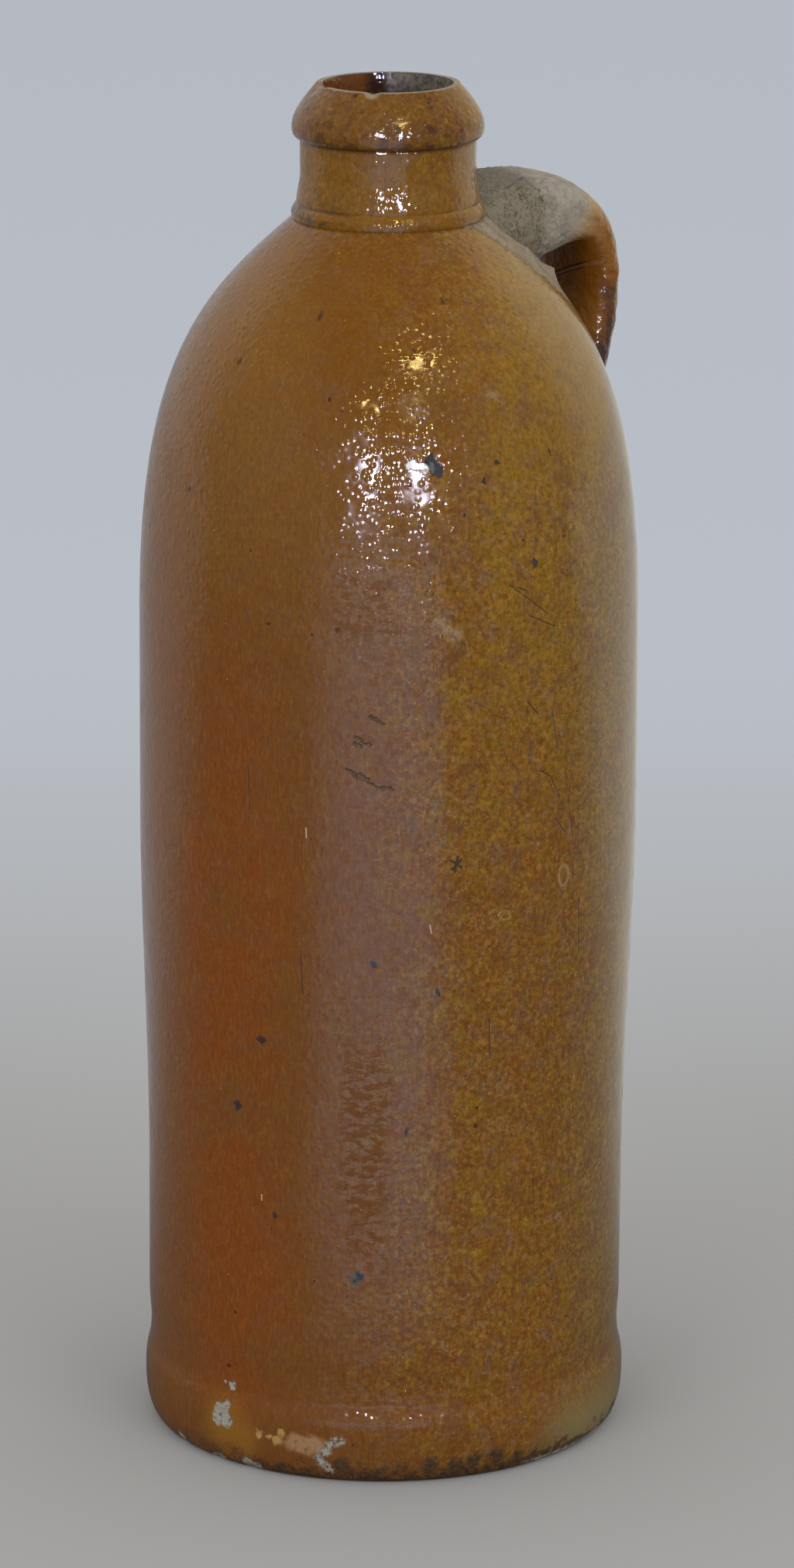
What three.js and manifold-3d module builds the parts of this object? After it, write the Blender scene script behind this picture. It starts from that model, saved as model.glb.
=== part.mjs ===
// Salt-glazed stoneware bottle with a strap handle on its shoulder.
// Millimetres, +Z up. The origin is the centre of the flat underside, and the handle points to +X.
import * as THREE from 'three';
import * as BufferGeometryUtils from 'three/addons/utils/BufferGeometryUtils.js';
import Module from 'manifold-3d';

const wasm = await Module();
wasm.setup();

// Heights: the foot and the wall are measured from the ground, the rest down from the rim
const HEIGHT = 280;
const LIP_HEIGHT = 11;
const NECK_LENGTH = 16.1;
const SHOULDER_DROP = 82.9;
const BELLY_RUN = 38;
const WAIST_RISE = 34;
const FOOT_HEIGHT = 20;

const LIP_BASE = HEIGHT - LIP_HEIGHT;
const NECK_BASE = LIP_BASE - NECK_LENGTH;
const SHOULDER_START = NECK_BASE - SHOULDER_DROP;
const BELLY_LEVEL = SHOULDER_START - BELLY_RUN;
const WAIST_LEVEL = FOOT_HEIGHT + WAIST_RISE;

// Outside radii
const FOOT_FLAT_RADIUS = 46.8;
const FOOT_BAND_RADIUS = 50;
const BELLY_RADIUS = 51;
const WAIST_NARROWING = 1.8;
const SPRINGING_NARROWING = 0.1;
const FOOT_GROOVE_DEPTH = 0.4;
const NECK_BASE_RADIUS = 19.55;
const NECK_RADIUS = 17.75;
const LIP_RADIUS = 19.4;

// Outline of the foot band, the groove above it, the dome and the lip
const FOOT_WIDEST_HEIGHT = 9;
const COVE_RISE = 7;
const DOME_PULL_HEIGHT = 52.5;
const DOME_SWEEP = { in: 19, down: 16.5 };
const LIP_WIDEST_RISE = 2.2;

// Inside of the hollow
const FLOOR_THICKNESS = 9;
const WALL_THICKNESS = 6.5;
const FLOOR_CORNER_RADIUS = 6;
const GATHER_DEPTH = 6;
const THROAT_RADIUS = 12.5;
const THROAT_FLARE = 0.9;
const MOUTH_RADIUS = 13.1;
const RIM_WIDTH = 1.3;
const MOUTH_BEVEL = { in: 0.25, down: 1.2 };

// Tool marks turned into the clay
const SEAM_BEVEL = 0.45;
const BEAD_HEIGHT = 3.2;
const BEAD_ROUND = 0.6;
const BEAD_GROOVE_DEPTH = 0.4;
const BEAD_GROOVE_HALF_HEIGHT = 0.5;
const NECK_FLARE = 1.05;
const NECK_FLARE_HEIGHT = 5;

// Strap handle: its crown above the neck's foot, its widest point and its landing below
const CROWN_RISE = 7.8;
const REACH_DROP = 16.9;
const LANDING_DROP = 30;
const REACH_OVER_BELLY = 2.2;
const STRAP_THICKNESS = 8;
const STRAP_WIDTH = 18;
const ROOT_FLARE = 4;
const ROOT_DEPTH = 17;
const ROOT_BURY = 1;
const STRAP_SQUARENESS = 3.4;
const STRAP_ROLL = THREE.MathUtils.degToRad(4);
const UPPER_SEAM = 0.45;
const LOWER_SEAM = 0.4;

// How the strap's two edges bend in the side view
const OUTER_BEND = {
  dip: 1.8, crownRun: 10, crownArch: 2, cornerIn: 0.6, cornerDrop: 2, fall: 7, tuck: 5, tuckRise: 15.5,
};
const INNER_BEND = {
  startIn: 6, startDrop: 1, eyeRun: 16, cornerOut: 0.6, cornerRise: 13.5,
  fall: 6, tuck: 2, tuckRise: 18, landingIn: 4.5,
};

// Pads of luting clay smeared over the wall round each end of the strap
const UPPER_PAD = { length: 12, width: 16.5, rise: 3 };
const LOWER_PAD = { length: 11.5, width: 14.5, rise: 2.4 };
const LOWER_PAD_RAISE = 6;
const PAD_EDGE = 0.4;
const PAD_BURY = 2;
const LUTING_CLEARANCE = 0.3;

// Smoothness of the facets
const ROUND_STEPS = 48;
const STRAP_STEPS = 20;
const ROOT_STEPS = 8;
const SECTION_STEPS = 24;
const PAD_RINGS = 6;
const PAD_SPOKES = 24;

const crownLevel = NECK_BASE + CROWN_RISE;
const reachLevel = NECK_BASE - REACH_DROP;
const landingLevel = reachLevel - LANDING_DROP;
const handleReach = BELLY_RADIUS + REACH_OVER_BELLY;
const waistRadius = BELLY_RADIUS - WAIST_NARROWING;
const grooveRadius = waistRadius - FOOT_GROOVE_DEPTH;
const seatRadius = grooveRadius - WALL_THICKNESS;

const glaze = (color, roughness) => new THREE.MeshStandardMaterial({ color, roughness, metalness: 0 });
const MATERIALS = {
  foot: glaze(0x8a5220, 0.34),
  wall: glaze(0x965a1c, 0.28),
  neck: glaze(0x8f5a20, 0.28),
  lip: glaze(0x8a541e, 0.3),
  strap: glaze(0x7a4216, 0.26),
  bareClay: glaze(0xa79f8b, 0.8),
};

const point = (radius, height) => new THREE.Vector2(radius, height);

function bezierPoints(start, pull, push, end, steps) {
  return new THREE.CubicBezierCurve(start, pull, push, end).getPoints(steps);
}

// A curve from one upright stretch of the outline to the next
function uprightSweep(low, high, steps) {
  const reach = (high.y - low.y) / 3;
  return bezierPoints(low, point(low.x, low.y + reach), point(high.x, high.y - reach), high, steps);
}

// A parallel outline, set towards the axis by the thickness
function insideOf(outline, thickness) {
  return outline.map((here, i) => {
    const before = outline[Math.max(i - 1, 0)];
    const after = outline[Math.min(i + 1, outline.length - 1)];
    const along = new THREE.Vector2().subVectors(after, before).normalize();
    return point(here.x - along.y * thickness, here.y + along.x * thickness);
  });
}

// Dome of the shoulder, which draws in below the neck
function shoulderOutside() {
  const springing = point(BELLY_RADIUS - SPRINGING_NARROWING, SHOULDER_START);
  const neckFoot = point(NECK_BASE_RADIUS + SEAM_BEVEL, NECK_BASE - SEAM_BEVEL);
  const pull = point(springing.x, springing.y + DOME_PULL_HEIGHT);
  const push = point(neckFoot.x + DOME_SWEEP.in, neckFoot.y - DOME_SWEEP.down);
  return bezierPoints(springing, pull, push, neckFoot, 15);
}

// Outside of the wall from the foot's groove to the foot of the neck
function wallOutside() {
  const groove = point(grooveRadius, FOOT_HEIGHT + SEAM_BEVEL);
  const coveTop = point(waistRadius, FOOT_HEIGHT + COVE_RISE);
  return [
    point(groove.x - SEAM_BEVEL, FOOT_HEIGHT),
    ...bezierPoints(groove, point(coveTop.x, groove.y), point(coveTop.x, (groove.y + coveTop.y) / 2), coveTop, 3),
    ...uprightSweep(point(waistRadius, WAIST_LEVEL), point(BELLY_RADIUS, BELLY_LEVEL), 6),
    ...shoulderOutside(),
    point(NECK_BASE_RADIUS - SEAM_BEVEL / 2, NECK_BASE),
  ];
}

function throatRadiusAt(height) {
  const rise = (height - NECK_BASE) / NECK_LENGTH;
  return THROAT_RADIUS + THROAT_FLARE * (1 - rise) ** 2;
}

// Inside of the wall, from the neck's seat down to the foot's seat
function wallInside() {
  const lowest = FOOT_HEIGHT + COVE_RISE / 2;
  const shell = wallOutside().filter((p) => p.y > lowest && p.y < NECK_BASE - GATHER_DEPTH);
  const inner = insideOf(shell, WALL_THICKNESS);
  const top = inner[inner.length - 1];
  const throat = point(throatRadiusAt(NECK_BASE), NECK_BASE);
  const gather = bezierPoints(
    top, point((top.x + throat.x) / 2, top.y + GATHER_DEPTH / 2), point(throat.x, throat.y - GATHER_DEPTH),
    throat, 6);
  return [point(seatRadius, FOOT_HEIGHT), ...inner, ...gather.slice(1)].reverse();
}

// Foot: the floor and the low soft band that the wall stands on
function footOutline() {
  const groove = point(grooveRadius, FOOT_HEIGHT - SEAM_BEVEL);
  const edge = point(FOOT_FLAT_RADIUS, 0);
  const widest = point(FOOT_BAND_RADIUS, FOOT_WIDEST_HEIGHT);
  const under = bezierPoints(edge, point((edge.x + widest.x) / 2, 0), point(widest.x, widest.y / 3), widest, 5);
  const over = uprightSweep(widest, groove, 5);
  const corner = point(seatRadius - FLOOR_CORNER_RADIUS, FLOOR_THICKNESS + FLOOR_CORNER_RADIUS);
  const cornerArc = new THREE.EllipseCurve(
    corner.x, corner.y, FLOOR_CORNER_RADIUS, FLOOR_CORNER_RADIUS, 0, -Math.PI / 2, true);
  return [
    point(0, 0),
    ...under,
    ...over.slice(1),
    point(grooveRadius - SEAM_BEVEL, FOOT_HEIGHT),
    point(seatRadius, FOOT_HEIGHT),
    ...cornerArc.getPoints(5),
    point(0, FLOOR_THICKNESS),
  ];
}

// Outside of the neck: a turned bead at its foot, a fine groove, then a slight hollow up to the lip
function neckOutside() {
  const beadTop = NECK_BASE + BEAD_HEIGHT;
  const overBead = NECK_RADIUS + NECK_FLARE;
  const grooveTop = beadTop + BEAD_GROOVE_HALF_HEIGHT;
  const flareTop = point(NECK_RADIUS, grooveTop + NECK_FLARE_HEIGHT);
  return [
    point(NECK_BASE_RADIUS - SEAM_BEVEL / 2, NECK_BASE),
    point(NECK_BASE_RADIUS, NECK_BASE + SEAM_BEVEL),
    point(NECK_BASE_RADIUS, NECK_BASE + BEAD_HEIGHT / 2),
    point(Math.max(NECK_BASE_RADIUS - BEAD_ROUND, overBead), beadTop - BEAD_GROOVE_HALF_HEIGHT),
    point(overBead - BEAD_GROOVE_DEPTH, beadTop),
    ...bezierPoints(
      point(overBead, grooveTop), point(NECK_RADIUS + NECK_FLARE / 5, grooveTop + NECK_FLARE_HEIGHT / 2),
      flareTop, point(NECK_RADIUS, LIP_BASE - SEAM_BEVEL), 6),
    point(NECK_RADIUS - SEAM_BEVEL / 2, LIP_BASE),
  ];
}

function neckOutline() {
  const bore = [1, 0.75, 0.5, 0.25, 0].map((share) => {
    const height = NECK_BASE + share * NECK_LENGTH;
    return point(throatRadiusAt(height), height);
  });
  return [...neckOutside(), ...bore];
}

// Lip: a rounded collar with an undercut edge, worn to a narrow rim
function lipOutline() {
  const underside = point(NECK_RADIUS - SEAM_BEVEL / 2, LIP_BASE);
  const widest = point(LIP_RADIUS, LIP_BASE + LIP_WIDEST_RISE);
  const rim = point(MOUTH_RADIUS + RIM_WIDTH, HEIGHT);
  const third = (rim.y - widest.y) / 3;
  const undercut = bezierPoints(
    underside, point((underside.x + 2 * widest.x) / 3, LIP_BASE), point(widest.x, LIP_BASE + LIP_WIDEST_RISE / 3),
    widest, 5);
  const collar = bezierPoints(
    widest, point(widest.x, widest.y + third), point((widest.x + rim.x) / 2, rim.y - third), rim, 10);
  return [
    ...undercut,
    ...collar.slice(1),
    point(MOUTH_RADIUS, HEIGHT),
    point(MOUTH_RADIUS - MOUTH_BEVEL.in, HEIGHT - MOUTH_BEVEL.down),
    point(THROAT_RADIUS, widest.y),
    point(THROAT_RADIUS, LIP_BASE),
  ];
}

// A closed outline turned round the Z axis
function turned(outline) {
  return new THREE.LatheGeometry(outline, ROUND_STEPS).rotateX(Math.PI / 2);
}

// The two edge curves of the strap, seen from the side: x is the distance from the axis, y the height
function strapEdges() {
  const innerReach = handleReach - STRAP_THICKNESS;
  const crownStart = point(NECK_RADIUS - ROOT_BURY, crownLevel - OUTER_BEND.dip);
  const outerSide = point(handleReach, reachLevel);
  const outerLanding = point(handleReach - OUTER_BEND.tuck, landingLevel);
  const eyeLevel = crownStart.y - ROOT_DEPTH;
  const eyeStart = point(crownStart.x + INNER_BEND.startIn, eyeLevel - INNER_BEND.startDrop);
  const innerSide = point(innerReach, reachLevel);
  const innerLanding = point(innerReach - INNER_BEND.landingIn, landingLevel);
  return {
    outer: [
      new THREE.CubicBezierCurve(crownStart,
        point(crownStart.x + OUTER_BEND.crownRun, crownLevel + OUTER_BEND.crownArch),
        point(handleReach - OUTER_BEND.cornerIn, crownLevel - OUTER_BEND.cornerDrop), outerSide),
      new THREE.CubicBezierCurve(outerSide, point(handleReach, reachLevel - OUTER_BEND.fall),
        point(outerLanding.x, landingLevel + OUTER_BEND.tuckRise), outerLanding),
    ],
    inner: [
      new THREE.CubicBezierCurve(eyeStart, point(crownStart.x + INNER_BEND.eyeRun, eyeLevel),
        point(innerReach + INNER_BEND.cornerOut, reachLevel + INNER_BEND.cornerRise), innerSide),
      new THREE.CubicBezierCurve(innerSide, point(innerReach, reachLevel - INNER_BEND.fall),
        point(innerReach - INNER_BEND.tuck, landingLevel + INNER_BEND.tuckRise), innerLanding),
    ],
  };
}

const signedPower = (value, power) => Math.sign(value) * Math.abs(value) ** power;

// One closed section of the strap; run goes from 0 at the neck, past 1 at the reach, to 2 at the landing
function strapSection(edges, run) {
  const part = Math.min(Math.floor(run), 1);
  const outer = edges.outer[part].getPoint(run - part);
  const inner = edges.inner[part].getPoint(run - part);
  const centre = new THREE.Vector2().addVectors(outer, inner).multiplyScalar(0.5);
  const halfThick = new THREE.Vector2().subVectors(outer, inner).multiplyScalar(0.5);
  const halfWide = (STRAP_WIDTH + ROOT_FLARE * Math.abs(run - 1) ** 3) / 2;
  const roll = STRAP_ROLL * (1 - run / 2);
  const ring = [];
  for (let i = 0; i < SECTION_STEPS; i += 1) {
    const angle = (i / SECTION_STEPS) * 2 * Math.PI;
    const across = signedPower(Math.cos(angle), 2 / STRAP_SQUARENESS) * halfWide;
    const up = signedPower(Math.sin(angle), 2 / STRAP_SQUARENESS);
    const lift = up - (across * Math.sin(roll)) / halfThick.length();
    ring.push(new THREE.Vector3(centre.x + halfThick.x * lift, across, centre.y + halfThick.y * lift));
  }
  return ring;
}

// A closed solid through a row of rings with equal numbers of points
function loft(rings) {
  const count = rings[0].length;
  const index = [];
  for (let r = 0; r + 1 < rings.length; r += 1) {
    for (let i = 0; i < count; i += 1) {
      const a = r * count + i;
      const b = r * count + ((i + 1) % count);
      index.push(a, b, a + count, b, b + count, a + count);
    }
  }
  const last = (rings.length - 1) * count;
  for (let i = 1; i + 1 < count; i += 1) {
    index.push(0, i + 1, i);
    index.push(last, last + i, last + i + 1);
  }
  const geometry = new THREE.BufferGeometry().setFromPoints(rings.flat());
  geometry.setIndex(index);
  return geometry;
}

function strapBetween(from, to, steps) {
  const edges = strapEdges();
  const rings = [];
  for (let i = 0; i <= steps; i += 1) rings.push(strapSection(edges, THREE.MathUtils.lerp(from, to, i / steps)));
  return loft(rings);
}

// A pad of clay that follows the wall, thickest in the middle and thin at its oval edge
function lutingPad({ length, width, rise }, guide, middle) {
  const span = guide.getLength();
  const leastShare = 0.02;
  const rings = [];
  for (let r = 0; r <= 2 * PAD_RINGS; r += 1) {
    const under = r < PAD_RINGS;
    const share = Math.max(under ? r / PAD_RINGS : 2 - r / PAD_RINGS, leastShare);
    const lift = under ? -PAD_BURY : LUTING_CLEARANCE + PAD_EDGE + rise * (1 - share ** 2);
    const ring = [];
    for (let i = 0; i < PAD_SPOKES; i += 1) {
      const angle = (i / PAD_SPOKES) * 2 * Math.PI;
      const at = middle + (share * length * Math.cos(angle)) / span;
      const spot = guide.getPointAt(at);
      const along = guide.getTangentAt(at);
      const radius = spot.x + along.y * lift;
      const turn = (-share * width * Math.sin(angle)) / spot.x;
      ring.push(new THREE.Vector3(radius * Math.cos(turn), radius * Math.sin(turn), spot.y - along.x * lift));
    }
    rings.push(ring);
  }
  return loft(rings);
}

// The upper pad reaches up to the foot of the neck
function upperPad() {
  const guide = new THREE.SplineCurve(shoulderOutside());
  return lutingPad(UPPER_PAD, guide, 1 - (UPPER_PAD.length + PAD_EDGE) / guide.getLength());
}

// The lower pad lies round the strap's landing on the wall
function lowerPad() {
  const guide = new THREE.SplineCurve(shoulderOutside());
  const searchStep = 0.002;
  let middle = 0;
  while (guide.getPointAt(middle).y < landingLevel + LOWER_PAD_RAISE) middle += searchStep;
  return lutingPad(LOWER_PAD, guide, middle);
}

function toSolid(geometry) {
  const bare = geometry.clone();
  bare.deleteAttribute('normal');
  bare.deleteAttribute('uv');
  const merged = BufferGeometryUtils.mergeVertices(bare, 1e-4);
  const mesh = new wasm.Mesh({
    numProp: 3,
    vertProperties: new Float32Array(merged.attributes.position.array),
    triVerts: new Uint32Array(merged.index.array),
  });
  return new wasm.Manifold(mesh);
}

function toGeometry(solid) {
  const mesh = solid.getMesh();
  const geometry = new THREE.BufferGeometry();
  geometry.setAttribute('position', new THREE.BufferAttribute(new Float32Array(mesh.vertProperties), 3));
  geometry.setIndex(new THREE.BufferAttribute(new Uint32Array(mesh.triVerts), 1));
  return geometry;
}

// The bottle's outside grown by the luting clearance, as a thick tube that cuts the handle's ends
function seatCutter() {
  const outside = [...wallOutside().slice(1, -1), ...neckOutside().slice(1, -1)];
  const grown = insideOf(outside, -LUTING_CLEARANCE);
  const core = THROAT_RADIUS / 2;
  const top = grown[grown.length - 1];
  return toSolid(turned([point(core, grown[0].y), ...grown, point(core, top.y), point(core, grown[0].y)]));
}

function handleRoot(rootLoft, pad) {
  return toGeometry(toSolid(rootLoft).add(toSolid(pad)).subtract(seatCutter()));
}

function named(name, geometry, material) {
  const mesh = new THREE.Mesh(geometry, material);
  mesh.name = name;
  return mesh;
}

function closed(outline) {
  return [...outline, outline[0].clone()];
}

const bottle = new THREE.Group();
bottle.name = 'stoneware_bottle';
bottle.add(named('foot', turned(footOutline()), MATERIALS.foot));
bottle.add(named('body_wall', turned(closed([...wallOutside(), ...wallInside()])), MATERIALS.wall));
bottle.add(named('neck', turned(closed(neckOutline())), MATERIALS.neck));
bottle.add(named('lip', turned(closed(lipOutline())), MATERIALS.lip));
bottle.add(named('handle_upper_root',
  handleRoot(strapBetween(0, UPPER_SEAM, ROOT_STEPS), upperPad()), MATERIALS.bareClay));
bottle.add(named('handle_strap', strapBetween(UPPER_SEAM, 1 + LOWER_SEAM, STRAP_STEPS), MATERIALS.strap));
bottle.add(named('handle_lower_root',
  handleRoot(strapBetween(1 + LOWER_SEAM, 2, ROOT_STEPS), lowerPad()), MATERIALS.strap));

export default bottle;
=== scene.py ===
"""A tall salt-glazed stoneware bottle with a strap handle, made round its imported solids."""

import math

import bmesh
import bpy
from bpy.props import FloatProperty, FloatVectorProperty, IntProperty
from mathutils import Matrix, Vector


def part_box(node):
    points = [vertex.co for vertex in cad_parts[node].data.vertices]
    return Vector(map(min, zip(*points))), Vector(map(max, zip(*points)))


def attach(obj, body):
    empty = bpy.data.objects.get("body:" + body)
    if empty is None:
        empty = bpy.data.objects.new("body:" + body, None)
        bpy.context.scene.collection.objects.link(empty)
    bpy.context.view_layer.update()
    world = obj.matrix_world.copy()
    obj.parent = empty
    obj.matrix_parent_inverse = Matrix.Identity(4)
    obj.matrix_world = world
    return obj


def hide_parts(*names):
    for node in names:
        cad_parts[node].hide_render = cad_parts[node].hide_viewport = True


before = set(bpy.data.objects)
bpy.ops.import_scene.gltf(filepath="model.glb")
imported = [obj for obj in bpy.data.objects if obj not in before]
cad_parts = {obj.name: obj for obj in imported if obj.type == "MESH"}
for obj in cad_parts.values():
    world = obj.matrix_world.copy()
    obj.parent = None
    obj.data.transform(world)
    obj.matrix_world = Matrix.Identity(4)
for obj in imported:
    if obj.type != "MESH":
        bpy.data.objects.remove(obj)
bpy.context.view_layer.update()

bl_info = {
    "name": "Stoneware bottle",
    "version": (1, 0, 0),
    "blender": (4, 5, 0),
    "location": "3D View > Sidebar > Bottle",
    "description": "Throws, handles and glazes a tall stoneware bottle",
    "category": "Add Mesh",
}

MM = 0.001
UP = Vector((0, 0, 1))
# The photograph looks at the bottle from this side, and the handle's plane is the XZ plane
VIEW_AZIMUTH = math.radians(-35)
FRONT = Vector((math.sin(VIEW_AZIMUTH), -math.cos(VIEW_AZIMUTH), 0))
RIGHT = Vector((math.cos(VIEW_AZIMUTH), math.sin(VIEW_AZIMUTH), 0))

CURVE_STEPS = 90
JOIN_GAP = 2e-5
SMOOTH_ANGLE = math.radians(40)
FOOT_STEPS, NECK_STEPS, HOLLOW_STEPS, STRAP_RINGS = 600, 300, 120, 48

# Sizes in millimetres that the outlines share
BODY_RADIUS = 51
FLAT_RADIUS, GROOVE_RADIUS, INSIDE_RADIUS, FLOOR_HEIGHT = 46.8, 48.8, 42.3, 9.0
NECK_SEAT_RADIUS, LIP_SEAT_RADIUS = 19.325, 17.525
THROAT_RADIUS, THROAT_FOOT_RADIUS = 12.5, 13.4
# The run along the strap at which its bare root ends
ROOT_RUN = 0.45

# How far the body sways at even heights from its foot to its rim, and the cage that sways it
SWAY_SHARES = (-1, -0.45, 0.2, 0.3, 0.1)
CAGE_WIDTH = 0.13

BUMP_DEPTH = 0.2 * MM
LAMP_AIM = 0.14
LAMP_COOL, LAMP_WARM = (0.80, 0.77, 1.0), (1, 0.75, 0.28)


def size_setting(name, description, node, corner, side):
    """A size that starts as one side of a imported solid's box, in millimetres, to a hundredth."""
    start = round(getattr(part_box(node)[corner], side) / MM, 2)
    return FloatProperty(name=name, description=description, default=start)


def colour_setting(name, description, default):
    return FloatVectorProperty(
        name=name, description=description, subtype="COLOR", size=3, default=default)


class BottleShape(bpy.types.PropertyGroup):
    """Sizes of the thrown body and its handle, in millimetres."""

    foot_height: size_setting(
        "Foot height", "Height of the groove above the foot band", "foot", 1, "z")
    neck_base: size_setting(
        "Neck base", "Height at which the neck stands on the shoulder", "neck", 0, "z")
    lip_base: size_setting("Lip base", "Height of the lip's undercut edge", "lip", 0, "z")
    rim_height: size_setting("Rim height", "Height of the whole bottle", "lip", 1, "z")
    foot_radius: size_setting("Foot radius", "Greatest radius of the foot band", "foot", 1, "y")
    belly_radius: size_setting("Belly radius", "Greatest radius of the wall", "body_wall", 1, "y")
    lip_radius: size_setting("Lip radius", "Greatest radius of the collar lip", "lip", 1, "y")
    handle_reach: size_setting(
        "Handle reach", "How far the handle stands out from the axis", "handle_strap", 1, "x")
    sway: FloatProperty(
        name="Sway", description="How far the foot stands to the left of the shoulder",
        default=1.0, min=0, max=1.5)
    turns: IntProperty(
        name="Turning steps", description="Faces in one turn of the wall",
        default=300, min=48, max=300)


class BottleGlaze(bpy.types.PropertyGroup):
    """Colours of the fired glaze and clay."""

    warm: colour_setting(
        "Warm brown", "Smooth orange-brown glaze on the left side", (0.170, 0.061, 0.0135))
    flash: colour_setting("Red flash", "Redder flashes low on the left", (0.205, 0.054, 0.009))
    ochre: colour_setting("Ochre", "Ochre glaze on the right side", (0.200, 0.080, 0.011))
    yellow: colour_setting(
        "Yellow", "Yellow glaze on the right of the shoulder", (0.242, 0.122, 0.011))
    amber: colour_setting(
        "Amber", "Deep amber glaze on the front of the shoulder", (0.168, 0.064, 0.003))
    gold: colour_setting("Golden bead", "Crown of a bead of salt glaze", (0.330, 0.165, 0.022))
    network: colour_setting("Dark network", "Iron brown between the beads", (0.100, 0.038, 0.010))
    olive: colour_setting("Olive", "Greenish glaze at the far right", (0.160, 0.105, 0.026))
    dark: colour_setting("Iron dark", "Specks, grooves and kiln scars", (0.030, 0.014, 0.010))
    bare: colour_setting(
        "Bare clay", "Pale clay where the glaze is missing", (0.330, 0.300, 0.235))
    cream: colour_setting("Cream clay", "Worn clay stained by the glaze", (0.420, 0.300, 0.150))
    peel: FloatProperty(
        name="Peel", description="Height of the orange-peel domes", default=0.55, min=0, max=3)


class BottleStudio(bpy.types.PropertyGroup):
    """The camera and the light."""

    lens: FloatProperty(
        name="Lens", description="Focal length on a 36 mm sensor", default=151.1, unit="CAMERA")
    pitch: FloatProperty(
        name="Pitch", description="How far the camera looks down",
        default=math.radians(15), subtype="ANGLE")
    distance: FloatProperty(
        name="Distance", description="From the camera to the point it looks at",
        default=1.354, unit="LENGTH")
    aim_height: FloatProperty(
        name="Aim height", description="Height of the point the camera looks at",
        default=0.1347, unit="LENGTH")
    aside: FloatProperty(
        name="Aside", description="How far the camera stands to its own right",
        default=0.00191, unit="LENGTH")
    ambient: FloatProperty(
        name="Ambient", description="Level of the light from all round", default=0.95)
    floor: colour_setting("Floor", "Colour of the pale floor", (0.366, 0.362, 0.354))
    backdrop: colour_setting("Backdrop", "Colour of the pale distance", (0.470, 0.500, 0.550))


# Finishes


def sign(operation, swapped=False):
    """A sign between a wire and a value, swapped where the value stands first."""
    def work(wire, value=0):
        first, second = (value, wire) if swapped else (wire, value)
        return wire.sum(operation, first, second)
    return work


class Wire:
    """A value, colour or vector on its way through a finish, with the usual signs for sums."""

    def __init__(self, recipe, socket):
        self.recipe = recipe
        self.socket = socket

    def sum(self, operation, first, second):
        return self.recipe.node("ShaderNodeMath", {"operation": operation}, {0: first, 1: second})

    __add__, __radd__ = sign("ADD"), sign("ADD", True)
    __sub__, __rsub__ = sign("SUBTRACT"), sign("SUBTRACT", True)
    __mul__, __rmul__ = sign("MULTIPLY"), sign("MULTIPLY", True)
    __truediv__, __or__, __abs__ = sign("DIVIDE"), sign("MAXIMUM"), sign("ABSOLUTE")


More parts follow.
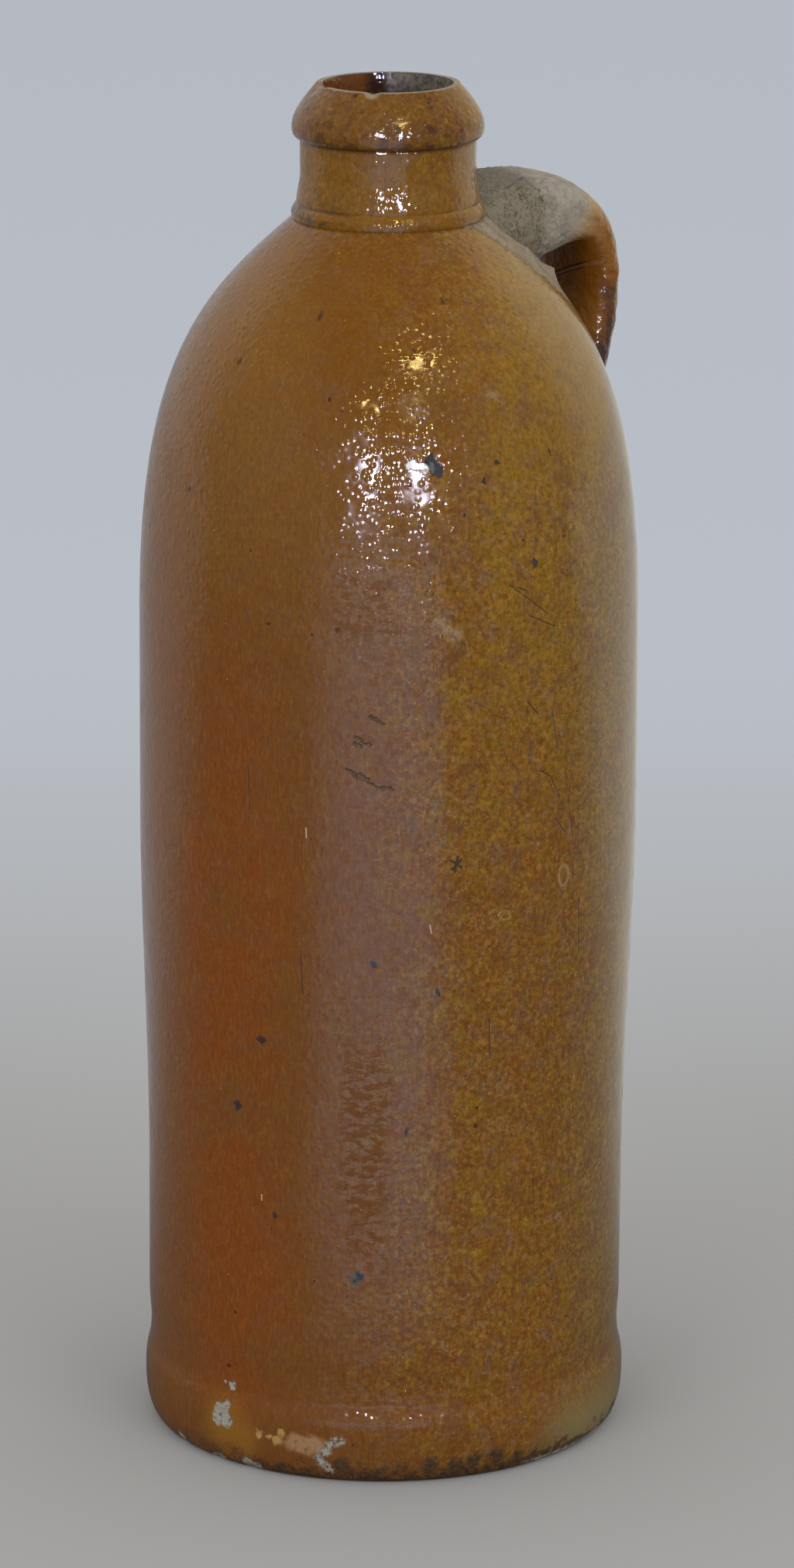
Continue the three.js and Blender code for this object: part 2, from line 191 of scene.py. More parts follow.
class Recipe:
    """The nodes of one finish, and the few ways in which they are put together."""

    def __init__(self, tree):
        self.tree = tree
        tree.nodes.clear()

    def node(self, kind, settings=None, inputs=None, output=0):
        made = self.tree.nodes.new(kind)
        for key, value in (settings or {}).items():
            setattr(made, key, value)
        for key, value in (inputs or {}).items():
            if isinstance(value, Wire):
                self.tree.links.new(value.socket, made.inputs[key])
            elif made.inputs[key].type == "RGBA":
                made.inputs[key].default_value = (*tuple(value)[:3], 1)
            else:
                made.inputs[key].default_value = value
        return made if output is None else Wire(self, made.outputs[output])

    def mix(self, first, second, share):
        """A colour between two others."""
        inputs = {0: share, 6: first, 7: second}
        return self.node("ShaderNodeMix", {"data_type": "RGBA"}, inputs, 2)

    def coats(self, colour, *layers):
        """A colour under layers, each given by its own colour and how much it covers."""
        for layer, share in layers:
            colour = self.mix(colour, layer, share)
        return colour

    def vector(self, operation, first, second, output=0):
        inputs = {0: first, 1: second}
        return self.node("ShaderNodeVectorMath", {"operation": operation}, inputs, output)

    def stretch(self, vector, times):
        return self.vector("MULTIPLY", vector, times)

    def dot(self, vector, direction):
        return self.vector("DOT_PRODUCT", vector, tuple(direction), 1)

    def between(self, value, low, high, start=0.0, end=1.0):
        """Runs smoothly from start, where the value is low, to end, where it is high."""
        inputs = {0: value, 1: low, 2: high, 3: start, 4: end}
        return self.node("ShaderNodeMapRange", {"interpolation_type": "SMOOTHSTEP"}, inputs)

    def noise(self, vector, size, detail=2.0, rough=0.5, output=0):
        """Clouds of about that size, in the vector's unit."""
        inputs = {"Vector": vector, "Scale": 1 / size, "Detail": detail, "Roughness": rough}
        return self.node("ShaderNodeTexNoise", {}, inputs, output)

    def cells(self, vector, size):
        """How far the middle of a cell of that size lies, in cells, and the cell's own number."""
        made = self.node("ShaderNodeTexVoronoi", {}, {"Vector": vector, "Scale": 1 / size}, None)
        lot = self.parts(Wire(self, made.outputs["Color"]))[0]
        return Wire(self, made.outputs["Distance"]), lot

    def parts(self, colour):
        """The three numbers of a colour."""
        split = self.node("ShaderNodeSeparateColor", {}, {0: colour}, None)
        return [Wire(self, split.outputs[i]) for i in range(3)]

    def specks(self, vector, size, radius, share):
        """Round specks of that radius, in a share of the cells of that size."""
        distance, lot = self.cells(vector, size)
        chosen = self.between(lot, 1 - share, 1.02 - share)
        return self.between(distance * size, radius, radius * 0.6) * chosen

    def any(self, masks):
        """Everything that at least one of the masks covers."""
        masks = list(masks)
        whole = masks[0]
        for mask in masks[1:]:
            whole = whole | mask
        return whole

    def spot(self, vector, place, radius, soft=0.35):
        """A round mark at a place, in the vector's unit."""
        distance = self.vector("DISTANCE", vector, tuple(place), 1)
        return self.between(distance, radius * (1 + soft), radius * (1 - soft))

    def ring(self, vector, place, wide, tall, line=0.3):
        """The outline of an oval mark."""
        offset = self.vector("SUBTRACT", vector, tuple(place))
        length = self.vector("LENGTH", self.stretch(offset, (2 / wide, 2 / tall, 0)), (0, 0, 0), 1)
        return self.between(abs(length - 1), line, line * 0.3)

    def stroke(self, vector, start, end, width, soft=0.5):
        """A scratch from start to end."""
        along = Vector(end) - Vector(start)
        reach = self.dot(self.vector("SUBTRACT", vector, tuple(start)), along.normalized())
        held = self.node("ShaderNodeClamp", {}, {0: reach, 1: 0.0, 2: along.length})
        scaled = self.node(
            "ShaderNodeVectorMath", {"operation": "SCALE"}, {0: tuple(along.normalized()), 3: held})
        nearest = self.vector("ADD", tuple(start), scaled)
        distance = self.vector("DISTANCE", vector, nearest, 1)
        return self.between(distance, width * (1 + soft), width * (1 - soft))


# Modelling


def deselect():
    if bpy.context.mode != "OBJECT":
        bpy.ops.object.mode_set(mode="OBJECT")
    bpy.ops.object.select_all(action="DESELECT")


def only(piece):
    deselect()
    piece.select_set(True)
    bpy.context.view_layer.objects.active = piece


def bezier(start, pull, push, end):
    """Points of the curve from start to end, close enough together to be spaced again."""
    points = []
    for i in range(CURVE_STEPS + 1):
        t = i / CURVE_STEPS
        shares = ((1 - t) ** 3, 3 * t * (1 - t) ** 2, 3 * t * t * (1 - t), t ** 3)
        corners = (start, pull, push, end)
        points.append(tuple(sum(s * c[k] for s, c in zip(shares, corners)) for k in (0, 1)))
    return points


def upright_sweep(low, high):
    """A curve that leaves low and reaches high going straight up."""
    third = (high[1] - low[1]) / 3
    return bezier(low, (low[0], low[1] + third), (high[0], high[1] - third), high)


def evenly(points, gap):
    """The same line from its first point to its last, with its points about gap apart."""
    steps = [math.dist(a, b) for a, b in zip(points, points[1:])]
    total = sum(steps)
    count = max(1, round(total / gap))
    spaced, done, place = [points[0]], 0.0, 0
    for i in range(1, count):
        wanted = total * i / count
        while done + steps[place] < wanted:
            done += steps[place]
            place += 1
        share = (wanted - done) / steps[place]
        spaced.append(tuple(a + (b - a) * share for a, b in zip(points[place], points[place + 1])))
    return [*spaced, points[-1]]


def chain(*lines):
    """Lines that meet end to end, as one."""
    joined = list(lines[0])
    for line in lines[1:]:
        joined.extend(line if math.dist(joined[-1], line[0]) > JOIN_GAP else line[1:])
    return joined


def turn(name, outline, steps):
    """A piece turned round the axis from an outline of (radius, height), as on the wheel."""
    deselect()
    bpy.ops.mesh.primitive_plane_add(size=MM)
    piece = bpy.context.object
    piece.name = piece.data.name = name
    bpy.ops.object.mode_set(mode="EDIT")
    bpy.ops.mesh.merge(type="CENTER")
    bpy.ops.transform.translate(value=(outline[0][0] * MM, 0, outline[0][1] * MM))
    for before, after in zip(outline, outline[1:]):
        step = ((after[0] - before[0]) * MM, 0, (after[1] - before[1]) * MM)
        bpy.ops.mesh.extrude_vertices_move(TRANSFORM_OT_translate={"value": step})
    bpy.ops.mesh.select_all(action="SELECT")
    bpy.ops.mesh.remove_doubles(threshold=JOIN_GAP)
    bpy.ops.object.mode_set(mode="OBJECT")
    apply(piece, "SCREW", steps=steps, render_steps=steps, use_merge_vertices=True,
          merge_threshold=JOIN_GAP)
    bpy.ops.object.mode_set(mode="EDIT")
    bpy.ops.mesh.select_all(action="SELECT")
    bpy.ops.mesh.remove_doubles(threshold=JOIN_GAP)
    bpy.ops.mesh.normals_make_consistent(inside=False)
    bpy.ops.object.mode_set(mode="OBJECT")
    return piece


def apply(piece, kind, **settings):
    """Adds a modifier and applies it."""
    only(piece)
    modifier = piece.modifiers.new(kind.lower(), kind)
    for key, value in settings.items():
        setattr(modifier, key, value)
    bpy.ops.object.modifier_apply(modifier=modifier.name)


def press(piece, place, push, size, falloff="SMOOTH"):
    """Presses or pulls the skin at a place, as a thumb or a tool does. All in millimetres."""
    only(piece)
    bpy.ops.object.mode_set(mode="EDIT")
    bpy.ops.mesh.select_all(action="DESELECT")
    mesh = bmesh.from_edit_mesh(piece.data)
    goal = place * MM
    nearest = min(mesh.verts, key=lambda v: (v.co - goal).length_squared)
    nearest.select_set(True)
    bmesh.update_edit_mesh(piece.data)
    bpy.ops.transform.translate(
        value=push * MM, use_proportional_edit=True, proportional_edit_falloff=falloff,
        proportional_size=size * MM, use_proportional_connected=True)
    bpy.ops.object.mode_set(mode="OBJECT")


def raise_pad(piece, marks, radius, lift, size):
    """Raises the skin at places given by their angle from the handle's plane, height and rise."""
    for angle, height, rise in marks:
        turned = math.radians(angle)
        place = Vector((radius * math.cos(turned), radius * math.sin(turned), height))
        press(piece, place, Vector((math.cos(turned), math.sin(turned), lift)) * rise, size)


def clouds(name, size):
    """A cloud texture for modifiers, with clouds of that size in millimetres."""
    texture = bpy.data.textures.new(name, "CLOUDS")
    texture.noise_scale = size * MM
    texture.noise_depth = 2
    return texture


def weigh(piece, name, share):
    """A vertex group with the share that a function gives for each place, in millimetres."""
    group = piece.vertex_groups.new(name=name)
    for vertex in piece.data.vertices:
        weight = share(vertex.co / MM)
        if weight > 0:
            group.add([vertex.index], min(1.0, weight), "REPLACE")


def away(angle):
    """The way out from the axis, by its angle to the right of the middle of the front."""
    turned = math.radians(angle)
    return FRONT * math.cos(turned) + RIGHT * math.sin(turned)


def ramp(value, low, high):
    """0 below low and 1 above high, with a smooth way between them."""
    t = max(0.0, min(1.0, (value - low) / (high - low)))
    return t * t * (3 - 2 * t)


def roughen(piece, size, depth, share, kind):
    """Waves of that size and depth, in millimetres, over the skin where share isn't 0."""
    weigh(piece, kind, share)
    apply(piece, "DISPLACE", texture=clouds(kind, size), strength=depth * MM, mid_level=0.5,
          texture_coords="LOCAL", direction="NORMAL", vertex_group=kind)
    piece.vertex_groups.remove(piece.vertex_groups[kind])


def lean(piece, shape):
    """The slight sway that the whole body took in drying and firing."""
    deselect()
    bpy.ops.object.add(type="LATTICE", location=(0, 0, shape.rim_height * MM / 2))
    cage = bpy.context.object
    cage.scale = (CAGE_WIDTH, CAGE_WIDTH, shape.rim_height * MM)
    cage.data.points_u = cage.data.points_v = 2
    cage.data.points_w = len(SWAY_SHARES)
    for level, share in enumerate(SWAY_SHARES):
        for point in cage.data.points[level * 4:level * 4 + 4]:
            moved = RIGHT * (share * shape.sway) * MM / cage.scale.x
            point.co_deform = Vector(point.co_deform) + Vector((moved.x, moved.y, 0))
    bpy.context.view_layer.update()
    apply(piece, "LATTICE", object=cage)
    bpy.data.objects.remove(cage)


def finish_piece(piece, nodes, finish):
    """Smooths, glazes and seats a piece in place of its solids."""
    only(piece)
    bpy.ops.object.shade_smooth_by_angle(angle=SMOOTH_ANGLE)
    piece.data.materials.clear()
    piece.data.materials.append(finish)
    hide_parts(*nodes)
    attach(piece, "root")


# Outlines, in millimetres


def foot_outline(shape):
    """From the middle of the underside round the band and back over the floor."""
    edge, widest = (FLAT_RADIUS, 0.0), (shape.foot_radius, 9.0)
    turned_in, groove = (GROOVE_RADIUS + 0.15, 16.9), (GROOVE_RADIUS, shape.foot_height)
    corner, middle = (INSIDE_RADIUS, shape.foot_height), (0.0, FLOOR_HEIGHT)
    under = evenly([(0.0, 0.0), edge], 1.2)
    band = bezier(edge, ((FLAT_RADIUS + shape.foot_radius) / 2, 0), (shape.foot_radius, 3), widest)
    turn_in = bezier(widest, (shape.foot_radius, 14.1), (49.3, 14.4), turned_in)
    out = evenly(chain(band, turn_in, upright_sweep(turned_in, groove)), 0.4)
    seat = evenly([groove, corner], 2)
    fillet = bezier(corner, (INSIDE_RADIUS, 12), (41, FLOOR_HEIGHT), (36, FLOOR_HEIGHT))
    return chain(under, out, seat, evenly(chain(fillet, [(36.0, FLOOR_HEIGHT), middle]), 4))


def wall_outline(shape):
    """From the groove above the foot up to the neck, and down inside."""
    foot, seat = shape.foot_height, shape.neck_base
    belly, waist = shape.belly_radius, shape.belly_radius - 1.8
    groove, spring, neck = (GROOVE_RADIUS, foot), (belly - 0.1, 170.0), (20.0, seat - 0.45)
    cove = bezier(groove, (GROOVE_RADIUS, foot + 2.5), (waist, foot + 4), (waist, foot + 8))
    swell = upright_sweep((waist, 54.0), (belly, 132.0))
    dome = bezier(spring, (spring[0], 222.5), (neck[0] + 19, neck[1] - 16.5), neck)
    out = evenly(chain(cove, swell, dome), 1.05)
    throat, inner_foot = (THROAT_FOOT_RADIUS, seat), (INSIDE_RADIUS, foot)
    inner_spring = spring[0] - 6.5
    gather = bezier(throat, (14, 248), (20, 243), (30, 231.5))
    vault = bezier((30, 231.5), (38, 222), (inner_spring, 205), (inner_spring, 170))
    inside = evenly(chain(gather, vault, [(44.4, 170.0), (42.5, 54.0), inner_foot]), 5)
    top = evenly([(NECK_SEAT_RADIUS, seat), throat], 2)
    return chain(out, top, inside, evenly([inner_foot, groove], 2))


def neck_outline(shape):
    """The bead and the short neck, and the throat inside."""
    base, lip = shape.neck_base, shape.lip_base
    throat, throat_foot = (THROAT_RADIUS, lip), (THROAT_FOOT_RADIUS, base)
    bead = [(NECK_SEAT_RADIUS, base), (19.55, base + 0.45), (19.55, base + 1.6),
            (18.95, base + 2.7), (18.4, base + 3.2)]
    rise = bezier(bead[-1], (18.8, base + 3.7), (17.96, base + 6.2), (17.75, base + 8.7))
    out = evenly(chain(rise, [(17.75, lip - 0.45)]), 0.35)
    top = evenly([(LIP_SEAT_RADIUS, lip), throat], 1)
    inside = evenly([throat, (12.7, base + 8), throat_foot], 1)
    return chain(evenly(bead, 0.35), out, top, inside, evenly([throat_foot, bead[0]], 2))


def lip_outline(shape):
    """The rounded collar, the narrow rim and the mouth."""
    base, rim, radius = shape.lip_base, shape.rim_height, shape.lip_radius
    start, widest, edge = (LIP_SEAT_RADIUS, base), (radius, base + 2.2), (14.4, rim)
    mouth, throat = (13.1, rim), (THROAT_RADIUS, base)
    third = (rim - widest[1]) / 3
    under = bezier(start, ((start[0] + 2 * radius) / 3, base), (radius, base + 0.73), widest)
    over = ((radius + edge[0]) / 2, rim - third)
    out = evenly(chain(under, bezier(widest, (radius, widest[1] + third), over, edge)), 0.35)
    inside = evenly([mouth, (12.85, rim - 1.2), (THROAT_RADIUS, base + 2.2), throat], 0.6)
    return chain(out, evenly([edge, mouth], 0.33), inside, evenly([throat, start], 1))


def hollow_outline(shape):
    """The body less a skin of 2 mm, which the handle's ends may not pass."""
    foot, top, side, throat = 150.0, 268.0, 48.9, 15.8
    shoulder = bezier((side, 170), (side, 221), (38, 234.5), (18, shape.neck_base - 2))
    return chain([(0.0, foot), (side, foot)], evenly(shoulder, 3),
                 [(throat, shape.neck_base), (throat, top), (0.0, top)])


def strap_edges(run):
    """The strap's outer and inner edge at run 0, at the neck, to 2, low on the shoulder."""
    reach = bpy.context.scene.bottle_shape.handle_reach
    outer_knee, inner_knee = (reach + 0.4, 236), (reach - 9.2, 235)
    if run <= 1:
        sides = (((9, 256.4), (25, 260.4), (reach + 0.8, 264.6), outer_knee),
                 ((12, 236), (40.5, 237.6), (reach - 9.8, 252.8), inner_knee))
    else:
        sides = ((outer_knee, (reach + 0.2, 225), (reach - 4.2, 216), (reach - 9, 206)),
                 (inner_knee, (reach - 9.2, 228), (reach - 11.4, 221), (reach - 15, 206)))
    place = round((run if run <= 1 else run - 1) * CURVE_STEPS)
    return [Vector((x, 0, z)) for x, z in (bezier(*side)[place] for side in sides)]


def strap_section(run):
    """Middle, half thickness, half width, lean and roll of the strap at a run."""
    outer, inner = strap_edges(run)
    across = (outer - inner) / 2
    # Wider towards both ends, and rounded off like a tongue at the lower one
    flared = 11.5 + 1.5 * abs(run - 1) ** 3
    width = flared * math.sqrt(1 - 0.5 * max(0, run / 0.45 - 3.45) ** 2)
    lean_angle = math.atan2(across.z, across.x)
    middle = (outer + inner) / 2 + Vector((0, 1.5, 0))
    return middle, across.length, width, lean_angle, math.radians(4) * (1 - run / 2)


def model_strap(name, rings):
    """The strap, drawn out ring by ring from a plate with rounded corners."""
    deselect()
    bpy.ops.mesh.primitive_plane_add(size=2 * MM)
    strap = bpy.context.object
    strap.name = strap.data.name = name
    bpy.ops.object.mode_set(mode="EDIT")
    bpy.ops.mesh.bevel(offset=0.8 * MM, segments=7, affect="VERTICES")
    bpy.ops.mesh.select_all(action="SELECT")
    place_section(strap_section(0), None)
    for ring in range(1, rings + 1):
        bpy.ops.mesh.extrude_region_move(TRANSFORM_OT_translate={"value": (0, 0, 0)})
        place_section(strap_section(2 * ring / rings), strap_section(2 * (ring - 1) / rings))
    bpy.ops.mesh.select_all(action="SELECT")
    bpy.ops.mesh.normals_make_consistent(inside=False)
    bpy.ops.object.mode_set(mode="OBJECT")
    return strap


def place_section(wanted, present):
    """Takes the selected ring from its present section to the wanted one."""
    middle, thick, width, tilt, roll = wanted
    here, was_thick, was_width, was_tilt, was_roll = present or (Vector(), 1, 1, 0, 0)
    centre = tuple(here * MM)
    bpy.ops.transform.rotate(value=-was_tilt, orient_axis="Y", center_override=centre)
    bpy.ops.transform.rotate(value=-was_roll, orient_axis="Z", center_override=centre)
    grown = (thick / was_thick, width / was_width, 1)
    bpy.ops.transform.resize(value=grown, center_override=centre)
    bpy.ops.transform.rotate(value=roll, orient_axis="Z", center_override=centre)
    bpy.ops.transform.rotate(value=tilt, orient_axis="Y", center_override=centre)
    bpy.ops.transform.translate(value=(middle - here) * MM)


def cut(piece, place, direction):
    """Keeps what lies on the far side of a cut, and closes it."""
    only(piece)
    bpy.ops.object.mode_set(mode="EDIT")
    bpy.ops.mesh.select_all(action="SELECT")
    bpy.ops.mesh.bisect(plane_co=place * MM, plane_no=direction, use_fill=True, clear_inner=True)
    bpy.ops.object.mode_set(mode="OBJECT")


# Glazes


class Tint:
    """Colours of the glaze's smaller parts, as linear light."""

    # The second of these is a painted sheen, the pale reflection at the shoulder's right limb
    warm_shoulder, painted_sheen = (0.185, 0.076, 0.014), (0.265, 0.188, 0.095)
    rust, moss, drab = (0.190, 0.052, 0.012), (0.200, 0.122, 0.006), (0.165, 0.092, 0.050)
    red_bead, pale_bead = (0.150, 0.042, 0.010), (0.300, 0.190, 0.100)
    mauve, fleck, streak = (0.135, 0.058, 0.026), (0.50, 0.29, 0.06), (0.50, 0.27, 0.05)
    deep_amber = (0.150, 0.048, 0.000)

    worn_glaze, recess, ash = (0.140, 0.052, 0.014), (0.060, 0.036, 0.014), (0.092, 0.082, 0.070)
    blue_iron, brown_iron, nick = (0.020, 0.026, 0.034), (0.055, 0.028, 0.014), (0.6, 0.5, 0.35)
    # The first of these is a painted glint, white light put into the colour beside the shoulder's
    # chip
    shine, pit, pit_wall = (0.90, 0.90, 1.0), (0.012, 0.012, 0.011), (0.075, 0.090, 0.078)
    # The first of these is the luting clay, partly a painted sheen at the shoulder's limb
    luting_clay, smeared_clay = (0.350, 0.290, 0.205), (0.235, 0.180, 0.110)

    foot_brown, foot_green = (0.160, 0.052, 0.008), (0.235, 0.190, 0.085)
    halo, scorch, char = (0.270, 0.135, 0.018), (0.095, 0.045, 0.014), (0.032, 0.019, 0.012)
    gold_crumb, tan = (0.44, 0.265, 0.085), (0.330, 0.190, 0.095)
    chipped, chip_shadow = (0.330, 0.305, 0.255), (0.100, 0.085, 0.065)
    underside = (0.17, 0.13, 0.085)

    neck_yellow, neck_blotch = (0.290, 0.140, 0.014), (0.060, 0.040, 0.020)
    # The first of these also darkens the neck's band under the lip, a painted shade
    groove, lip_brown = (0.085, 0.028, 0.010), (0.085, 0.034, 0.010)
    lip_blotch, lip_dark = (0.075, 0.030, 0.012), (0.060, 0.022, 0.016)
    lip_shade, rim_back = (0.095, 0.034, 0.012), (0.100, 0.060, 0.035)
    rim_worn, throat_warm = (0.290, 0.215, 0.125), (0.150, 0.052, 0.016)
    throat_burnt, throat_grey = (0.034, 0.012, 0.008), (0.150, 0.125, 0.088)
    throat_dark = (0.060, 0.052, 0.042)

    strap_top, strap_low = (0.255, 0.112, 0.030), (0.225, 0.088, 0.017)
    strap_stain, strap_fleck = (0.120, 0.050, 0.016), (0.37, 0.25, 0.14)
    inner_top, inner_low = (0.150, 0.052, 0.005), (0.240, 0.100, 0.020)
    fold, crease = (0.200, 0.090, 0.045), (0.045, 0.016, 0.006)
    purple, purple_stain = (0.075, 0.036, 0.026), (0.055, 0.036, 0.034)
    fade, root_clay = (0.360, 0.235, 0.120), (0.370, 0.332, 0.265)
    root_stain, root_rugged = (0.290, 0.243, 0.165), (0.240, 0.202, 0.122)
    root_pit, root_top = (0.105, 0.086, 0.050), (0.165, 0.140, 0.100)
    root_crack = (0.075, 0.062, 0.040)


# Marks on the skin, each by its angle in degrees to the right of the middle of the front and its
# height in millimetres: lines by their two ends, round marks with a radius
SCRATCHES = (
    (28.5, 187.2, 38.7, 180.2), (30.5, 186.5, 33, 185.6), (33.5, 180.5, 40.5, 177.5),
    (36.5, 148.5, 39.5, 146.8), (39.5, 146.8, 42.3, 142.0), (40, 160, 41.5, 152),
    (33, 163, 36, 160), (45, 142, 46.5, 133), (41, 138, 44, 134.5), (24, 98, 24.4, 90),
    (37, 62, 37.5, 55), (-33, 150, -32.6, 141), (-20, 112, -19.7, 104), (49, 120, 49.6, 108))
RECESSES = (
    (-7.1, 157.4, -4.2, 156.4), (-7.4, 156.3, -6.2, 155.9), (-8.6, 151.0, -6.6, 149.6),
    (-6.3, 150.4, -4.4, 148.9), (-4.2, 148.5, -1.6, 147.3), (-1.2, 147.6, 1.0, 147.4),
    (-3.4, 161.8, -1.0, 160.9))
STAR = ((14.3, 132.2, 16.9, 130.6), (15.9, 132.9, 15.2, 129.8), (14.6, 130.3, 16.6, 132.2))
NICKS = ((-18.5, 138.6, -18.4, 136.6), (9.6, 119, 9.9, 117.4), (-31, 60, -31, 58.8))
BLUE_SPECKS = (
    (-6.6, 44.9, 0.8), (-7.6, 43.8, 0.35), (35.2, 190.8, 0.75), (32.9, 196, 0.35),
    (23.3, 208, 0.45), (27.6, 211.5, 0.5), (43, 212, 0.35), (-27.6, 179.4, 0.45),
    (17.8, 202, 0.45), (-12, 222, 0.35), (8, 233, 0.4), (44.5, 195, 0.35), (-37.4, 78.1, 1.0),
    (-30.3, 93.0, 0.8), (-27.3, 55.9, 0.55), (11.5, 105, 0.6), (4.4, 75.5, 0.55), (-3.2, 111, 0.5))
BROWN_SPECKS = ((-23.3, 238.4, 0.8), (20, 241.2, 0.6), (-46, 228.8, 0.7), (21.5, 241.6, 0.3))
FOOT_SCARS = (
    (-2.9, 1.8, 1.9), (10, 4.1, 1.8), (16.8, 3.0, 2.2), (21, 4.3, 1.7), (26.7, 4.3, 1.7),
    (-25.8, 2.0, 1.2), (-11, 4.0, 1.9), (-20, 1.6, 1.4), (33, 3.2, 1.5), (46, 2.6, 1.2))
GOLD_CRUMBS = ((-31.6, 8.7, 0.8), (-25.6, 9.8, 0.8), (-26.4, 8.0, 1.1), (-28.5, 8.6, 0.7))
FOOT_CHIPS = (
    (-42.3, 11.2, 2.1), (-43.6, 10.0, 1.5), (-40.7, 9.9, 1.5), (-41.2, 12.8, 1.1),
    (-40.0, 17.5, 1.0), (-42.3, 17.8, 0.5), (-59.4, 1.1, 1.3), (-46.5, 0.4, 1.3),
    (-44.4, 0.6, 1.2), (-35.8, 1.4, 1.4), (-33.6, 1.0, 1.2))


def new_finish(name):
    """A material and its empty recipe."""
    finish = bpy.data.materials.new(name)
    finish.use_nodes = True
    return finish, Recipe(finish.node_tree)


def fire(recipe, colour, roughness, height, matt=None):
    """The shader of a fired skin: glossy, with a bump, and dull by the matt share."""
    bump = recipe.node(
        "ShaderNodeBump", {}, {"Strength": 1.0, "Distance": BUMP_DEPTH, "Height": height})
    skin = recipe.node("ShaderNodeBsdfPrincipled", {}, {
        "Base Color": colour, "Roughness": roughness, "Normal": bump, "IOR": 1.55})
    if matt is not None:
        dull = recipe.node("ShaderNodeBsdfPrincipled", {}, {
            "Base Color": colour, "Roughness": 0.35, "Normal": bump, "Specular IOR Level": 0.06})
        skin = recipe.node("ShaderNodeMixShader", {}, {0: matt, 1: skin, 2: dull})
    recipe.node("ShaderNodeOutputMaterial", {}, {0: skin}, None)


